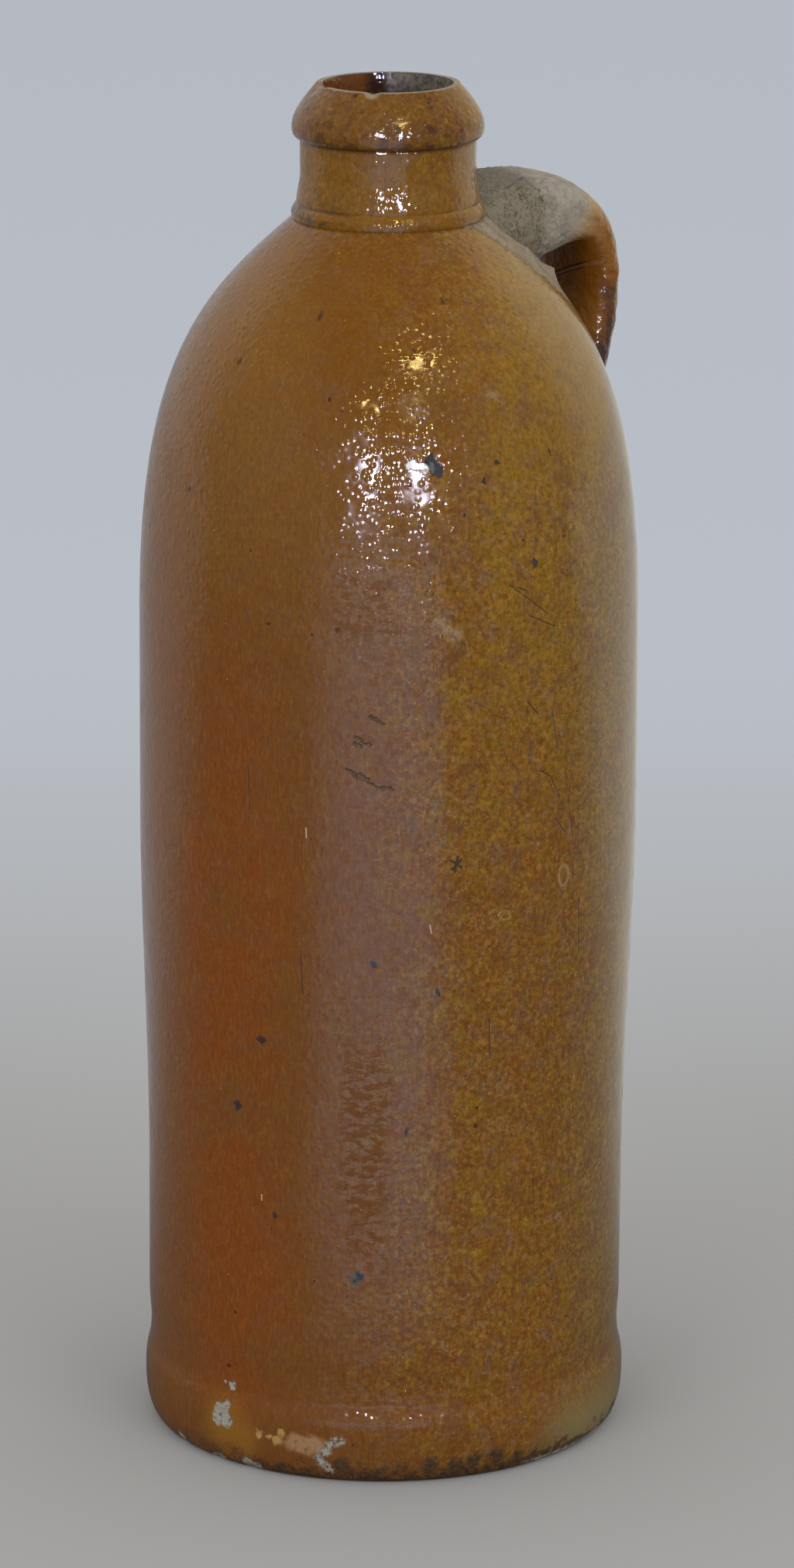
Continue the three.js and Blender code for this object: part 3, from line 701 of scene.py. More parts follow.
class SaltGlaze:
    """Salt glaze as it lies on every piece: zones round the bottle, beads, specks and marks.

    level is the height in millimetres, and radial the distance from the axis. across and ahead
    run from -1 to 1 over the body, to the right and to the front. sheet is the skin unrolled.
    drift and bend are wide clouds about 0, and loose and ragged are place and sheet, jittered.
    """

    def __init__(self, recipe):
        r = self.recipe = recipe
        self.glaze = bpy.context.scene.bottle_glaze
        self.place = r.stretch(r.node("ShaderNodeTexCoord", {}, {}, "Object"), (1 / MM,) * 3)
        self.level = r.dot(self.place, UP)
        self.across = r.dot(self.place, RIGHT / BODY_RADIUS)
        self.ahead = r.dot(self.place, FRONT / BODY_RADIUS)
        self.radial = r.vector("LENGTH", r.stretch(self.place, (1, 1, 0)), (0, 0, 0), 1)
        cloud = r.noise(self.place, 26, 3, 0.55, 1)
        self.drift, self.bend = (part - 0.5 for part in r.parts(cloud)[:2])
        self.bend_by = r.vector("SUBTRACT", cloud, (0.5, 0.5, 0.5))
        jitter = r.vector("SUBTRACT", r.noise(self.place, 1.7, 2, 0.6, 1), (0.5, 0.5, 0.5))
        self.loose = r.vector("ADD", self.place, r.stretch(jitter, (1.1, 1.1, 1.1)))
        angle = self.across.sum("ARCTAN2", self.across, self.ahead)
        self.sheet = r.node("ShaderNodeCombineXYZ", {}, {0: angle * BODY_RADIUS, 1: self.level})
        self.ragged = r.vector("ADD", self.sheet, r.stretch(jitter, (2.6, 2.6, 0)))
        self.side = self.across + self.drift * 0.5
        amber = r.between(self.level, 205, 228) * r.between(abs(self.side + 0.02), 0.48, 0.16)
        self.amber = amber * r.between(self.level, 262, 246, 0.3, 1.0)
        # Painted sheen: the shoulder's right limb is painted pale beige in place of its grazing
        # reflection, and the beads under it are calmed
        aside = self.across * BODY_RADIUS / (self.radial | 1) + self.bend * 0.25
        painted_sheen = r.between(aside, 0.6, 1.0) * r.between(self.level + self.drift * 20, 200, 232)
        self.painted_sheen = painted_sheen * r.between(self.ahead, -0.5, -0.25) * r.between(self.level, 272, 266)
        strong = r.between(self.across + self.drift * 0.7, -0.30, 0.32)
        strong = strong | (r.between(self.level, 244, 254) * 0.6)
        self.strong = strong * (1 - self.painted_sheen * 0.55)

    def at(self, angle, height):
        """A place on the skin, by its angle to the right of the middle of the front."""
        return (math.radians(angle) * BODY_RADIUS, height, 0)

    def spots(self, marks, vector=None, soft=0.35):
        """Round marks, each given by its angle, height and radius."""
        vector = vector or self.ragged
        return self.recipe.any(
            self.recipe.spot(vector, self.at(angle, height), radius, soft)
            for angle, height, radius in marks)

    def strokes(self, marks, width, vector=None, soft=0.5):
        """Scratches, each given by the angle and height of its two ends."""
        vector = vector or self.ragged
        return self.recipe.any(
            self.recipe.stroke(vector, self.at(*mark[:2]), self.at(*mark[2:]), width, soft)
            for mark in marks)

    def zones(self):
        """The glaze without its beads, from the warm left to the olive right."""
        r, g, side = self.recipe, self.glaze, self.side
        rise = self.level + self.bend * 60
        flash = r.between(abs(side + 0.6), 0.30, 0.06) * r.between(rise, 195, 130)
        yellow = r.between(side, 0.12, 0.5) * r.between(rise, 120, 180)
        limb = r.between(self.across + self.drift * 0.16, 0.58, 0.93)
        return r.coats(
            g.warm,
            (Tint.warm_shoulder, r.between(rise, 150, 210)),
            (g.flash, flash * r.between(self.bend, -0.18, 0.02)),
            (g.ochre, r.between(side, -0.05, 0.42)),
            (g.yellow, yellow | (r.between(rise, 205, 245) * 0.25)),
            (g.amber, self.amber * 0.85),
            (g.olive, limb * r.between(rise, 240, 190, 0.6, 1.0)),
            # Painted sheen on the shoulder's right limb
            (Tint.painted_sheen, self.painted_sheen * 0.5))

    def beads(self, colour):
        """Soft golden beads and brown hollows, strong on the right and faint on the left."""
        r, g = self.recipe, self.glaze
        strong = self.strong * r.between(abs(self.level - 230), 16, 28, 0.62, 1.0)
        grain = r.noise(self.loose, 0.9, 3, 0.65)
        red, green, grey = r.parts(r.noise(self.place, 4.2, 4, 0.62, 1))
        fine, warm, pale = r.parts(r.noise(self.loose, 1.15, 3, 0.68, 1))
        patch = r.between(r.noise(self.place, 4.5, 4, 0.6), 0.38, 0.62) * 0.6 + 0.4
        hollow = r.between(fine, 0.52, 0.32) * (r.between(grain, 0.35, 0.6) * 0.6 + 0.4)
        mauve = r.between(r.noise(self.place, 7, 5, 0.7), 0.50, 0.70)
        fleck = r.between(r.noise(r.stretch(self.loose, (1, 1, 0.6)), 0.62, 2, 0.6), 0.63, 0.74)
        streak = r.noise(r.stretch(self.place, (1, 1, 0.28)), 0.55, 2, 0.6)
        return r.coats(
            colour,
            (Tint.rust, r.between(red, 0.50, 0.66) * (strong * 0.40 + 0.12)),
            (Tint.moss, r.between(green, 0.50, 0.64) * (strong * 0.52 + 0.10)),
            (Tint.drab, r.between(grey, 0.50, 0.66) * (strong * 0.50 + 0.20)),
            (g.gold, r.between(fine, 0.46, 0.66) * patch * (strong * 0.66 + 0.06)),
            (g.network, hollow * (strong * 0.56 + 0.10)),
            (Tint.red_bead, r.between(warm, 0.52, 0.64) * (strong * 0.34 + 0.08)),
            (Tint.pale_bead, r.between(pale, 0.54, 0.66) * (strong * 0.36 + 0.07)),
            (Tint.mauve, mauve * (strong * 0.5 + 0.15)),
            (Tint.fleck, fleck * (strong * 0.40 + 0.10)),
            (g.dark, r.between(streak, 0.54, 0.34) * 0.14),
            (Tint.streak, r.between(streak, 0.52, 0.72) * 0.09),
            (Tint.deep_amber, self.amber * 0.28))

    def specks(self, colour):
        """Iron specks, and fine pale ones on the left."""
        r, g = self.recipe, self.glaze
        dark = r.any((
            r.specks(self.loose, 11, 0.62, 0.42), r.specks(self.loose, 6.5, 0.36, 0.34),
            r.specks(self.place, 3.1, 0.20, 0.30)))
        pale = r.specks(self.loose, 3.2, 0.18, 0.30) * r.between(self.across, 0.25, -0.4)
        return r.coats(colour, (g.dark, dark * 0.8), (g.cream, pale * 0.7)), dark

    def skin(self):
        """Colour, roughness and height of the plain glaze."""
        r = self.recipe
        colour, dark = self.specks(self.beads(self.zones()))
        calm = r.between(self.level, 165, 205, 0.5, 1.0)
        calm = calm * r.between(self.across, 0.75, 0.35, 0.2, 1.0)
        distance, lot = r.cells(self.place, 1.5)
        domes = r.between(distance, 0.62, 0.05) * (lot * 0.65 + 0.35)
        bumps = r.specks(self.loose, 2.3, 0.7, 0.3) * 0.15
        height = (domes * self.glaze.peel + bumps + r.noise(self.place, 3.6, 1) * 0.6) * calm
        height = height + r.noise(self.place, 9) * 0.7 - dark * 0.2
        rough = r.between(r.noise(self.place, 6, 3, 0.6), 0.42, 0.72, 0.09, 0.22)
        return colour, rough, height


def new_glaze(name):
    """A material, its recipe, and the salt glaze on it with its colour, roughness and height."""
    finish, recipe = new_finish(name)
    salt = SaltGlaze(recipe)
    return finish, recipe, salt, *salt.skin()


def wall_finish():
    """The wall's glaze with its scratches, chips and dull patches."""
    finish, r, salt, colour, rough, height = new_glaze("wall_salt_glaze")
    g, sheet = salt.glaze, salt.sheet
    sheet_x, sheet_z, _ = r.parts(sheet)

    # The dull, worn streaks down the middle of the front
    low = r.between(abs(sheet_x + 4.5 + salt.drift * 8), 7, 2.5)
    low = low * r.between(abs(sheet_z - 70), 34, 16)
    high = r.between(abs(sheet_x + 3 + salt.drift * 10), 10, 4)
    high = high * r.between(abs(sheet_z - 184), 10, 4)
    smear = r.noise(r.stretch(salt.loose, (0.55, 0.55, 1.25)), 1.5, 5, 0.68)
    streaks = r.between(smear, 0.48, 0.57) * (low | (high * 0.8))
    fine = r.between(r.noise(r.stretch(salt.loose, (0.7, 0.7, 1.0)), 1.6, 4, 0.7), 0.48, 0.62)
    fine = fine * r.between(abs(salt.across + 0.02), 0.36, 0.16) * r.between(salt.level, 196, 176)
    dull = streaks | (fine * 0.42)

    # Scratches, rings, specks and nicks
    worn = salt.strokes(((11.5, 180.4, 15.2, 178.2),), 1.3, soft=0.95) * 0.7
    worn = worn | salt.strokes(((28, 224.2, 31.5, 223),), 0.7, soft=0.95) * 0.5
    scratch = salt.strokes(SCRATCHES, 0.17, sheet)
    recess = salt.strokes(RECESSES, 0.36)
    rings = r.ring(sheet, salt.at(43.8, 125.5), 2.6, 4.2)
    rings = rings | r.ring(salt.ragged, salt.at(27.5, 119.5), 2.6, 2.2) * 0.7
    blue = salt.strokes(STAR, 0.24, sheet) | salt.spots(BLUE_SPECKS)
    colour = r.coats(
        colour,
        (Tint.worn_glaze, streaks * 0.75),
        (g.cream, worn * r.between(r.noise(salt.loose, 1.3, 3, 0.6), 0.38, 0.58) * 0.6),
        (g.dark, scratch * 0.55),
        (Tint.recess, recess * 0.75),
        (g.cream, rings * 0.35),
        (Tint.ash, salt.spots(((-7.5, 44.2, 1.5),), sheet) * 0.8),
        (Tint.blue_iron, blue * 0.85),
        (Tint.brown_iron, salt.spots(BROWN_SPECKS) * 0.8),
        (Tint.nick, salt.strokes(NICKS, 0.13, sheet) * 0.7))

    # The deep chip at the front of the shoulder, and a painted glint beside it: a highlight put
    # into the colour, with the relief smoothed away under it
    painted_glint_mask = salt.strokes(((5.6, 211.9, 9.3, 211.2),), 0.85, soft=0.3)
    chip = salt.strokes(((10.4, 212.2, 12.0, 210.6),), 1.35, soft=0.25)
    inside = salt.strokes(((10.3, 212.0, 10.9, 210.4),), 0.5, soft=0.4)

    # The smeared collar of clay on which the handle is luted, partly real clay and partly painted
    # sheen, pale where it stands for the grazing reflection at the shoulder's limb
    crumbs = r.noise(salt.place, 0.55, 2, 0.6)
    flat = r.vector("ADD", r.stretch(salt.loose, (1, 1, 0)), r.stretch(salt.bend_by, (7, 7, 0)))
    luted = r.stroke(flat, (8, 0.5, 0), (24.5, -1.5, 0), 19.6, 0.25)
    luted = r.between(luted + (r.noise(salt.loose, 2.4, 5, 0.72) - 0.5) * 0.8, 0.35, 0.55)
    lower_edge = salt.level + salt.bend * 14 + (r.noise(salt.loose, 2.2, 3, 0.6) - 0.5) * 9
    luted = luted * r.between(lower_edge, 229, 232)
    smeared = r.between(r.noise(r.stretch(salt.loose, (1, 1, 0.4)), 2.8, 4, 0.65), 0.40, 0.62)
    smeared = smeared | (r.between(crumbs, 0.45, 0.65) * 0.7)
    colour = r.coats(
        colour,
        (Tint.shine, painted_glint_mask * 0.85),
        (Tint.pit, chip),
        (Tint.pit_wall, inside),
        (r.mix(Tint.luting_clay, Tint.smeared_clay, smeared), luted * 0.92))

    height = height * (1 - painted_glint_mask) + dull * smear * 0.5
    height = height + rings * 0.5 - scratch * 0.4 - recess - chip * 0.8 + luted * crumbs * 3
    fire(r, colour, rough + (worn | luted | chip) * 0.5, height, matt=dull * 0.9)
    return finish


def foot_finish():
    """The foot's glaze, chipped and scarred by the kiln along its lower edge."""
    finish, r, salt, colour, rough, height = new_glaze("foot_salt_glaze")
    crumbs = r.noise(salt.place, 1.1, 4, 0.7)
    green = r.between(salt.across, 0.52, 0.80) * r.between(salt.level, 17, 5)
    halo = salt.spots(((-41, 8.5, 5.5), (-36, 6.5, 3.5)), soft=0.7)
    scar = r.between(salt.level - r.noise(salt.loose, 3.2, 4, 0.7) * 16, -4.0, -6.4)
    scar = scar * r.between(salt.across, -0.95, -0.2, 0.35, 1.0) | salt.spots(FOOT_SCARS)
    scorch = r.mix(Tint.scorch, Tint.char, r.between(crumbs, 0.42, 0.58))
    # A spot on a narrowed sheet is a wide one
    tan = r.spot(r.stretch(salt.ragged, (0.45, 1, 0)), (salt.at(-19.5, 0)[0] * 0.45, 8.0, 0), 2.1)
    chips = salt.spots(FOOT_CHIPS, soft=0.15)
    flaked = salt.strokes(((-15.5, 6.6, -11, 9.8), (-16.2, 5, -14, 2.8)), 0.95)
    rubbed = r.between(salt.across, 0.5, 0.62) * r.between(salt.level + crumbs * 3, 3.2, 2.4)
    pale = r.any((chips, flaked * r.between(crumbs, 0.62, 0.46), rubbed))
    under = r.between(salt.level, 0.35, 0.1) * r.between(salt.radial, 46.6, 45.8)
    colour = r.coats(
        colour,
        (Tint.foot_brown, 0.25),
        (Tint.foot_green, green * 0.75),
        (Tint.halo, halo * 0.65),
        (scorch, scar * 0.82),
        (Tint.gold_crumb, salt.spots(GOLD_CRUMBS) * 0.85),
        (Tint.tan, tan * r.between(crumbs, 0.30, 0.50)),
        (r.mix(Tint.chipped, Tint.chip_shadow, r.between(crumbs, 0.54, 0.62)), pale),
        (r.mix(salt.glaze.bare, Tint.underside, r.between(crumbs, 0.4, 0.6)), under))
    bare = r.any((pale, under, scar * 0.5))
    fire(r, colour, rough + bare * 0.6, height - chips * 1.5 + bare * crumbs * 1.6)
    return finish


def neck_finish():
    """The neck's glaze, darker in its grooves, with painted shade under the lip, and blotched at
    the lower left.
    """
    finish, r, salt, colour, rough, height = new_glaze("neck_salt_glaze")
    blotch = r.between(r.noise(salt.loose, 2.6, 4, 0.7), 0.47, 0.60)
    low = r.between(salt.level, 259, 254.5) * r.between(salt.across, -0.14, -0.26)
    groove = r.between(abs(salt.level - 252.5), 0.75, 0.25)
    scored = r.between(abs(salt.level - 256.0), 0.45, 0.1) * r.between(salt.across, -0.08, -0.2)
    # Painted shade: a dark band on the neck just under the lip's overhang
    painted_lip_shade = r.between(salt.level, 268.0, 268.8)
    colour = r.coats(
        colour,
        (Tint.neck_yellow, 0.2),
        (Tint.neck_blotch, blotch * (low * 0.75 + 0.16)),
        (Tint.groove, r.any((groove * 0.65, painted_lip_shade * 0.5, scored * 0.7))))
    fire(r, colour, rough, height)
    return finish


def lip_finish():
    """The lip's glaze, worn to the clay round the mouth, brown and grey inside."""
    finish, r, salt, colour, rough, height = new_glaze("lip_salt_glaze")
    crumbs = r.noise(salt.place, 1.0, 4, 0.7)
    blotch = r.between(r.noise(salt.loose, 2.8, 4, 0.7), 0.47, 0.60)
    dark_right = salt.spots(((26, 272.0, 2.6), (31, 279, 2.2), (38, 278.5, 1.6)))
    throat_right = r.between(salt.across, -0.03, 0.06)
    throat = r.between(salt.radial, 13.5, 13.1)
    # Inside the mouth: warm brown on the left, near black on the right, with mottled grey over the
    # right above 275.5 mm
    throat_tone = r.mix(Tint.throat_warm, Tint.throat_burnt, r.between(salt.across, -0.12, -0.05))
    grey = r.mix(Tint.throat_grey, Tint.throat_dark, r.between(crumbs, 0.42, 0.6))
    inside = r.mix(throat_tone, grey, throat_right * r.between(salt.level, 275.5, 277.5))
    worn = r.between(salt.radial + crumbs * 0.8, 14.95, 14.6) * r.between(salt.ahead, 0, 0.08)
    chip = r.spot(salt.loose, FRONT * 13.6 - RIGHT * 3.0 + UP * 280, 1.5)
    worn = (worn | chip) * (1 - throat * 0.6)
    back = r.between(salt.level, 279.6, 279.9) * r.between(salt.ahead, 0.02, -0.05)
    colour = r.coats(
        colour,
        (Tint.lip_brown, 0.22),
        (Tint.lip_blotch, blotch * (r.between(salt.level, 276, 270) * 0.35 + 0.30)),
        (Tint.lip_dark, dark_right * r.between(blotch, 0.1, 0.6) * 0.8),
        (Tint.lip_shade, r.between(salt.level, 269.7, 269.1)),
        (inside, throat),
        (Tint.rim_back, back * 0.8),
        (Tint.rim_worn, worn * 0.9))
    dry = worn | (throat * throat_right)
    fire(r, colour, rough + dry * 0.5, height + worn * crumbs * 1.2 - chip)
    return finish


def root_clay(r, salt, facing, reach, stain):
    """The colour of the bare clay at the neck, with its crumbs, its pits and how far it is top."""
    crumbs = r.noise(salt.loose, 0.9, 5, 0.8)
    cracks = r.between(abs(r.noise(salt.loose, 4.5, 4, 0.75) - 0.5), 0.012, 0.002)
    pits = r.between(crumbs, 0.54, 0.64) * r.between(r.noise(salt.place, 3), 0.40, 0.60)
    pits = pits | (cracks * r.between(reach, 36, 32))
    rugged = r.between(reach + salt.drift * 8, 33, 29)
    top = r.between(r.dot(facing, (0.2, 0, 1)), 0.70, 0.88) * r.between(reach, 34, 28)
    cracked = r.any(r.stroke(salt.loose, start, end, 0.28) for start, end in (
        ((31, -4, 258.4), (31.5, -9, 256)), ((31.5, -9, 256), (31, -10.3, 254)),
        ((31, -10.3, 254), (29.3, -10.5, 252.8)), ((21, -9, 256.6), (31, -4, 258.6))))
    cracked = cracked | r.spot(salt.loose, (31.8, -9.8, 255.6), 0.7)
    clay = r.coats(
        Tint.root_clay,
        (Tint.root_stain, stain * 0.7),
        (Tint.root_rugged, rugged * 0.8),
        (Tint.root_pit, pits * (rugged * 0.75 + 0.2)),
        (Tint.root_top, top * 0.9),
        (Tint.root_crack, cracked * 0.75))
    return clay, crumbs, pits, top


def handle_finish():
    """Bare grey clay at the neck, cream where it fades, and brown glaze below."""
    finish, r = new_finish("handle_salt_glaze")
    salt = SaltGlaze(r)
    reach, over = r.dot(salt.place, (1, 0, 0)), r.dot(salt.place, (0, 1, 0))
    facing = r.node("ShaderNodeNewGeometry", {}, {}, "Normal")
    stain = r.between(r.noise(salt.place, 3.2, 4, 0.65), 0.46, 0.62)

    # The inner face, with the fold that runs up it
    inner = r.between(r.dot(facing, (-0.93, 0, -0.36)), 0.12, 0.6)
    outside = 1 - inner
    fold = salt.level + over * 0.34 - 237 + salt.drift * 3
    crease = r.between(abs(fold), 0.3, 0.08) | r.between(abs(fold + 0.9), 0.26, 0.06) * 0.7
    crease = crease * r.between(over + salt.bend * 6, -9.5, -6)
    shadow = r.coats(
        r.mix(Tint.inner_top, Tint.inner_low, r.between(salt.level, 236, 228)),
        (Tint.fold, r.between(abs(fold + 0.45), 0.6, 0.3) * 0.5),
        (Tint.crease, crease))

    # The purple-brown edge
    rim = r.between(reach + salt.bend * 4, 45.8, 48)
    rim = rim * r.between(salt.level + salt.drift * 9, 238, 232)
    rim = rim | r.between(salt.level + salt.bend * 6, 227, 222)
    rim = rim * r.between(r.noise(salt.place, 6, 3), 0.28, 0.52)

    # The bare clay, where the strap rises from the neck
    along = r.dot(salt.place, (1, 0, -0.6)) + salt.bend * 5
    fade = r.between(along, -101, -109) * outside
    bare = r.between(along, -105.5, -111.5) * outside
    clay, crumbs, pits, top = root_clay(r, salt, facing, reach, stain)
    flecks = r.between(r.noise(salt.loose, 1.5, 3, 0.7), 0.54, 0.62) * r.between(reach, 34, 37)
    flecks = flecks * r.between(salt.level, 254, 257) * outside
    colour = r.coats(
        r.mix(Tint.strap_top, Tint.strap_low, r.between(salt.level, 250, 240)),
        (Tint.strap_stain, stain * 0.4),
        (shadow, inner),
        (r.mix(Tint.purple, Tint.purple_stain, stain), rim * 0.95),
        (Tint.fade, fade * 0.85),
        (clay, bare),
        (Tint.strap_fleck, flecks * 0.7))

    height = r.noise(salt.place, 4) * 1.2 + r.noise(salt.place, 1.5, 1) * (3 - inner * 1.4)
    height = height - crease * inner * 1.2 + bare * (1 - top * 0.7) * (crumbs * 3 - pits * 1.2)
    rough = r.between(bare, 0, 1, 0.12, 0.85)
    fire(r, colour, rough, height, matt=inner * r.between(salt.level, 226, 232))
    return finish


# Operators


class BOTTLE_OT_foot(bpy.types.Operator):
    """Turn the floor and the soft foot band, chipped at its edge"""

    bl_idname = "bottle.foot"
    bl_label = "Foot"

    def execute(self, context):
        shape = context.scene.bottle_shape
        foot = turn("foot_glazed", foot_outline(shape), FOOT_STEPS)
        for angle, height, radius, depth, size in (
                (-42.1, 11, 50, 0.5, 3.0), (-59.4, 1.0, 47.5, 0.6, 1.8),
                (-45.5, 0.8, 47.4, 0.5, 2.2), (-34.8, 1.0, 47.5, 0.6, 2.2),
                (-14.5, 5, 49.6, 0.35, 2.5), (44, 1, 47.5, 0.5, 2.0)):
            out = away(angle)
            press(foot, out * radius + UP * height, out * -depth, size, "SHARP")
        lean(foot, shape)
        finish_piece(foot, ["foot"], foot_finish())
        return {"FINISHED"}


class BOTTLE_OT_wall(bpy.types.Operator):
    """Throw the wall and the domed shoulder, raised where the handle is luted on"""

    bl_idname = "bottle.wall"
    bl_label = "Wall"

    def execute(self, context):
        shape = context.scene.bottle_shape
        wall = turn("body_wall_glazed", wall_outline(shape), shape.turns)
        raise_pad(wall, ((0, 243, 1.332), (-14, 241, 0.518), (14, 241, 0.74)), 31, 0.9, 13)
        for place, rise, size in (
                ((30, -13.5, 240.5), 1.4, 4.5), ((24, -14.5, 245.5), 0.8, 5),
                ((27, 16, 242), 1.1, 6)):
            out = Vector((*place[:2], 28)).normalized()
            press(wall, Vector(place), out * rise, size, "SHARP")
        raise_pad(wall, ((0, 212, 1.6), (-9, 212, 1.0), (9, 212, 1.0)), 46.8, 0.3, 12)
        lean(wall, shape)
        finish_piece(wall, ["body_wall"], wall_finish())
        return {"FINISHED"}


class BOTTLE_OT_neck(bpy.types.Operator):
    """Turn the neck with its bead and fine groove"""

    bl_idname = "bottle.neck"
    bl_label = "Neck"

    def execute(self, context):
        shape = context.scene.bottle_shape
        neck = turn("neck_glazed", neck_outline(shape), NECK_STEPS)
        lean(neck, shape)
        finish_piece(neck, ["neck"], neck_finish())
        return {"FINISHED"}


class BOTTLE_OT_lip(bpy.types.Operator):
    """Turn the rounded collar lip, worn to the clay at its rim"""

    bl_idname = "bottle.lip"
    bl_label = "Lip"

    def execute(self, context):
        shape = context.scene.bottle_shape
        lip = turn("lip_glazed", lip_outline(shape), NECK_STEPS)
        for angle, inwards, down, size in ((-12.6, 0.1, 0.6, 2.0), (-78, 0.2, 0.7, 4.5)):
            out = away(angle)
            press(lip, out * 14.2 + UP * 280, out * -inwards - UP * down, size)
        lean(lip, shape)
        finish_piece(lip, ["lip"], lip_finish())
        return {"FINISHED"}


class BOTTLE_OT_handle(bpy.types.Operator):
    """Pull the strap handle and lute it to the neck's foot and the shoulder"""

    bl_idname = "bottle.handle"
    bl_label = "Handle"

    def execute(self, context):
        shape = context.scene.bottle_shape
        strap = model_strap("handle_glazed_strap", STRAP_RINGS)
        apply(strap, "REMESH", mode="VOXEL", voxel_size=0.45 * MM)
        hollow = turn("hollow", hollow_outline(shape), HOLLOW_STEPS)
        apply(strap, "BOOLEAN", operation="DIFFERENCE", solver="EXACT", object=hollow)
        bpy.data.objects.remove(hollow)
        apply(strap, "SMOOTH", factor=0.5, iterations=6)
        roughen(strap, 5, 0.7, lambda p: 1.0, "strap_waves")
        roughen(strap, 1.6, 0.8, lambda p: 1 - ramp(p.x, 30, 38), "rough_clay")
        press(strap, Vector((50, 2, 220)), Vector((-1.3, 0, 0.3)), 8)
        press(strap, Vector((28, -8, 257)), Vector((0, -0.7, 0.3)), 4)
        lean(strap, shape)
        only(strap)
        bpy.ops.object.duplicate()
        root = bpy.context.object
        root.name = root.data.name = "handle_bare_root"
        outer, inner = strap_edges(ROOT_RUN)
        along = Vector((-(outer - inner).z, 0, (outer - inner).x)).normalized()
        if along.x < 0:
            along = -along
        cut(strap, inner, along)
        cut(root, inner, -along)
        finish = handle_finish()
        finish_piece(root, ["handle_upper_root"], finish)
        finish_piece(strap, ["handle_strap", "handle_lower_root"], finish)
        return {"FINISHED"}


class BOTTLE_OT_studio(bpy.types.Operator):
    """Set up the pale floor, the soft light and the camera of the photograph"""

    bl_idname = "bottle.studio"
    bl_label = "Studio"

    def execute(self, context):
        studio = context.scene.bottle_studio
        lay_floor(studio)
        light_world(studio)
        hang_lamps()
        aim_camera(studio)
        context.scene.view_settings.view_transform = "Standard"
        return {"FINISHED"}


# Studio


def lay_floor(studio):
    """A pale floor that runs into the backdrop, and that the glaze mirrors in its own colours."""
    deselect()
    bpy.ops.mesh.primitive_plane_add(size=14)
    floor = bpy.context.object
    floor.name = "floor"
    finish, r = new_finish("floor_pale")
    place = r.node("ShaderNodeTexCoord", {}, {}, "Object")
    ahead, across = r.dot(place, FRONT), r.dot(place, RIGHT)
    colour = r.mix(studio.floor, studio.backdrop, r.between(ahead, -0.08, -0.7))
    pale = r.node("ShaderNodeBsdfDiffuse", {}, {0: colour})
    # Mirrored, the room is dark in front, but for a wedge of daylight, and pale behind
    slope = across / (ahead | 0.001)
    soft, sharp = r.between(slope, 0.64, 0.22), r.between(slope, 0.50, 0.30)
    right = soft + (sharp - soft) * r.between(ahead, 0.25, 0.6)
    wedge = r.between(slope, -0.85, -0.22) * right * r.between(ahead, 0.10, 0.22)
    room = r.mix((0.34, 0.36, 0.39), (0.62, 0.62, 0.57), r.between(across, -0.1, 0.2))
    seen = r.coats(
        (0.06, 0.055, 0.05), ((0.37, 0.68, 1.0), wedge), (room, r.between(ahead, 0.05, -0.3)))
    glow = r.node("ShaderNodeEmission", {}, {0: seen, 1: 1.0})
    glossy = r.node("ShaderNodeLightPath", {}, {}, "Is Glossy Ray")
    floor_shader = r.node("ShaderNodeMixShader", {}, {0: glossy, 1: pale, 2: glow})
    r.node("ShaderNodeOutputMaterial", {}, {0: floor_shader}, None)
    finish.cycles.emission_sampling = "NONE"
    floor.data.materials.append(finish)


def light_world(studio):
    """Even light from all round, a backdrop for the camera, and a dim room for the glaze."""
    world = bpy.data.worlds.new("pale_room")
    bpy.context.scene.world = world
    world.use_nodes = True
    world.cycles.sampling_method = "NONE"
    r = Recipe(world.node_tree)
    direction = r.node("ShaderNodeTexCoord", {}, {}, "Generated")
    behind = r.between(r.dot(direction, -FRONT), 0.05, 0.45)
    side = r.between(r.dot(direction, RIGHT), -0.3, 0.5)
    room = r.mix((0.46, 0.48, 0.52), (0.70, 0.61, 0.43), side)
    colour = r.coats(
        (studio.ambient,) * 3,
        (r.mix((0.09, 0.09, 0.10), room, behind),
         r.node("ShaderNodeLightPath", {}, {}, "Is Glossy Ray")),
        (studio.backdrop, r.node("ShaderNodeLightPath", {}, {}, "Is Camera Ray")))
    glow = r.node("ShaderNodeBackground", {}, {0: colour, 1: 1.0})
    r.node("ShaderNodeOutputWorld", {}, {0: glow}, None)


def hang_lamp(name, azimuth, elevation, distance, size, colour, radiance, mirrored):
    """A flat lamp that faces the bottle, by its angles from the front: only mirrored, or never."""
    raised = math.radians(elevation)
    place = away(azimuth) * distance * math.cos(raised)
    place += UP * (LAMP_AIM + distance * math.sin(raised))
    deselect()
    bpy.ops.object.light_add(type="AREA", location=place)
    lamp = bpy.context.object
    lamp.name = lamp.data.name = name
    lamp.data.shape = "RECTANGLE"
    lamp.data.size, lamp.data.size_y = size
    lamp.data.color = colour
    lamp.data.energy = radiance * math.pi * size[0] * size[1]
    lamp.rotation_mode = "QUATERNION"
    lamp.rotation_quaternion = (UP * LAMP_AIM - place).to_track_quat("-Z", "Y")
    lamp.visible_glossy = mirrored
    lamp.visible_diffuse = not mirrored


def hang_lamps():
    """Two soft lamps, two tall windows with a warm lamp over each, and a warm tube."""
    for side, azimuth in (("left", -32), ("right", 36)):
        hang_lamp("soft_" + side, azimuth, 35, 2.5, (1.2, 1.2), (1, 0.99, 0.97), 2.0, False)
    for kind, elevation, size, colour, radiance in (
            ("window_", 14, (0.09, 0.4), LAMP_COOL, 150), ("warm_", 32, (0.1, 0.1), LAMP_WARM, 60)):
        for side, azimuth in (("left", -8.5), ("right", 14.5)):
            hang_lamp(kind + side, azimuth, elevation, 2.5, size, colour, radiance, True)
    hang_lamp("warm_tube", 22, 50, 1.6, (0.4, 0.025), LAMP_WARM, 75, True)


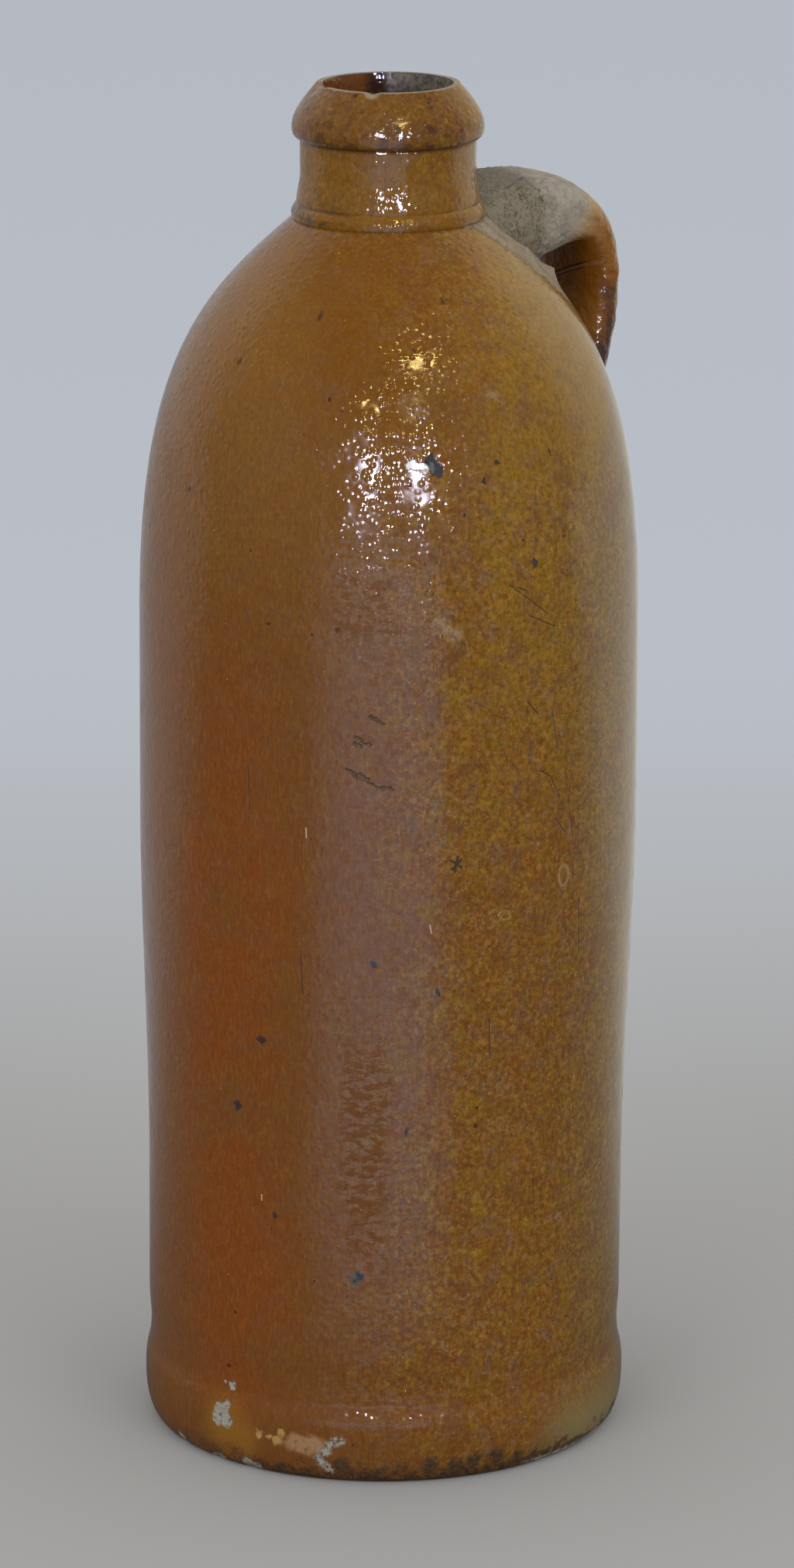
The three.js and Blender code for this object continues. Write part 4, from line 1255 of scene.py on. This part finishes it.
def aim_camera(studio):
    deselect()
    back = FRONT * math.cos(studio.pitch) + UP * math.sin(studio.pitch)
    place = back * studio.distance + UP * studio.aim_height + RIGHT * studio.aside
    bpy.ops.object.camera_add(location=place)
    camera = bpy.context.object
    camera.name = "camera"
    camera.rotation_mode = "QUATERNION"
    camera.rotation_quaternion = (-back).to_track_quat("-Z", "Y")
    camera.data.lens = studio.lens
    camera.data.sensor_width = 36
    camera.data.clip_start, camera.data.clip_end = 0.05, 30
    bpy.context.scene.camera = camera


PIECE_OPERATORS = (BOTTLE_OT_foot, BOTTLE_OT_wall, BOTTLE_OT_neck, BOTTLE_OT_lip, BOTTLE_OT_handle)
GROUPS = {"bottle_shape": BottleShape, "bottle_glaze": BottleGlaze, "bottle_studio": BottleStudio}


class BOTTLE_PT_panel(bpy.types.Panel):
    """Lists the bottle's sizes, colours and steps"""

    bl_label = "Stoneware bottle"
    bl_idname = "BOTTLE_PT_panel"
    bl_space_type = "VIEW_3D"
    bl_region_type = "UI"
    bl_category = "Bottle"

    def draw(self, context):
        for name, group in GROUPS.items():
            column = self.layout.column(align=True)
            for key in group.__annotations__:
                column.prop(getattr(context.scene, name), key)
        for operator in (*PIECE_OPERATORS, BOTTLE_OT_studio):
            self.layout.operator(operator.bl_idname)


CLASSES = (*GROUPS.values(), *PIECE_OPERATORS, BOTTLE_OT_studio, BOTTLE_PT_panel)


def register():
    for cls in CLASSES:
        bpy.utils.register_class(cls)
    for name, group in GROUPS.items():
        setattr(bpy.types.Scene, name, bpy.props.PointerProperty(type=group))


def unregister():
    for name in GROUPS:
        delattr(bpy.types.Scene, name)
    for cls in reversed(CLASSES):
        bpy.utils.unregister_class(cls)


def main():
    """Builds the bottle and its stage."""
    register()
    bpy.ops.bottle.foot()
    bpy.ops.bottle.wall()
    bpy.ops.bottle.neck()
    bpy.ops.bottle.lip()
    bpy.ops.bottle.handle()
    bpy.ops.bottle.studio()


if __name__ == "__main__":
    main()
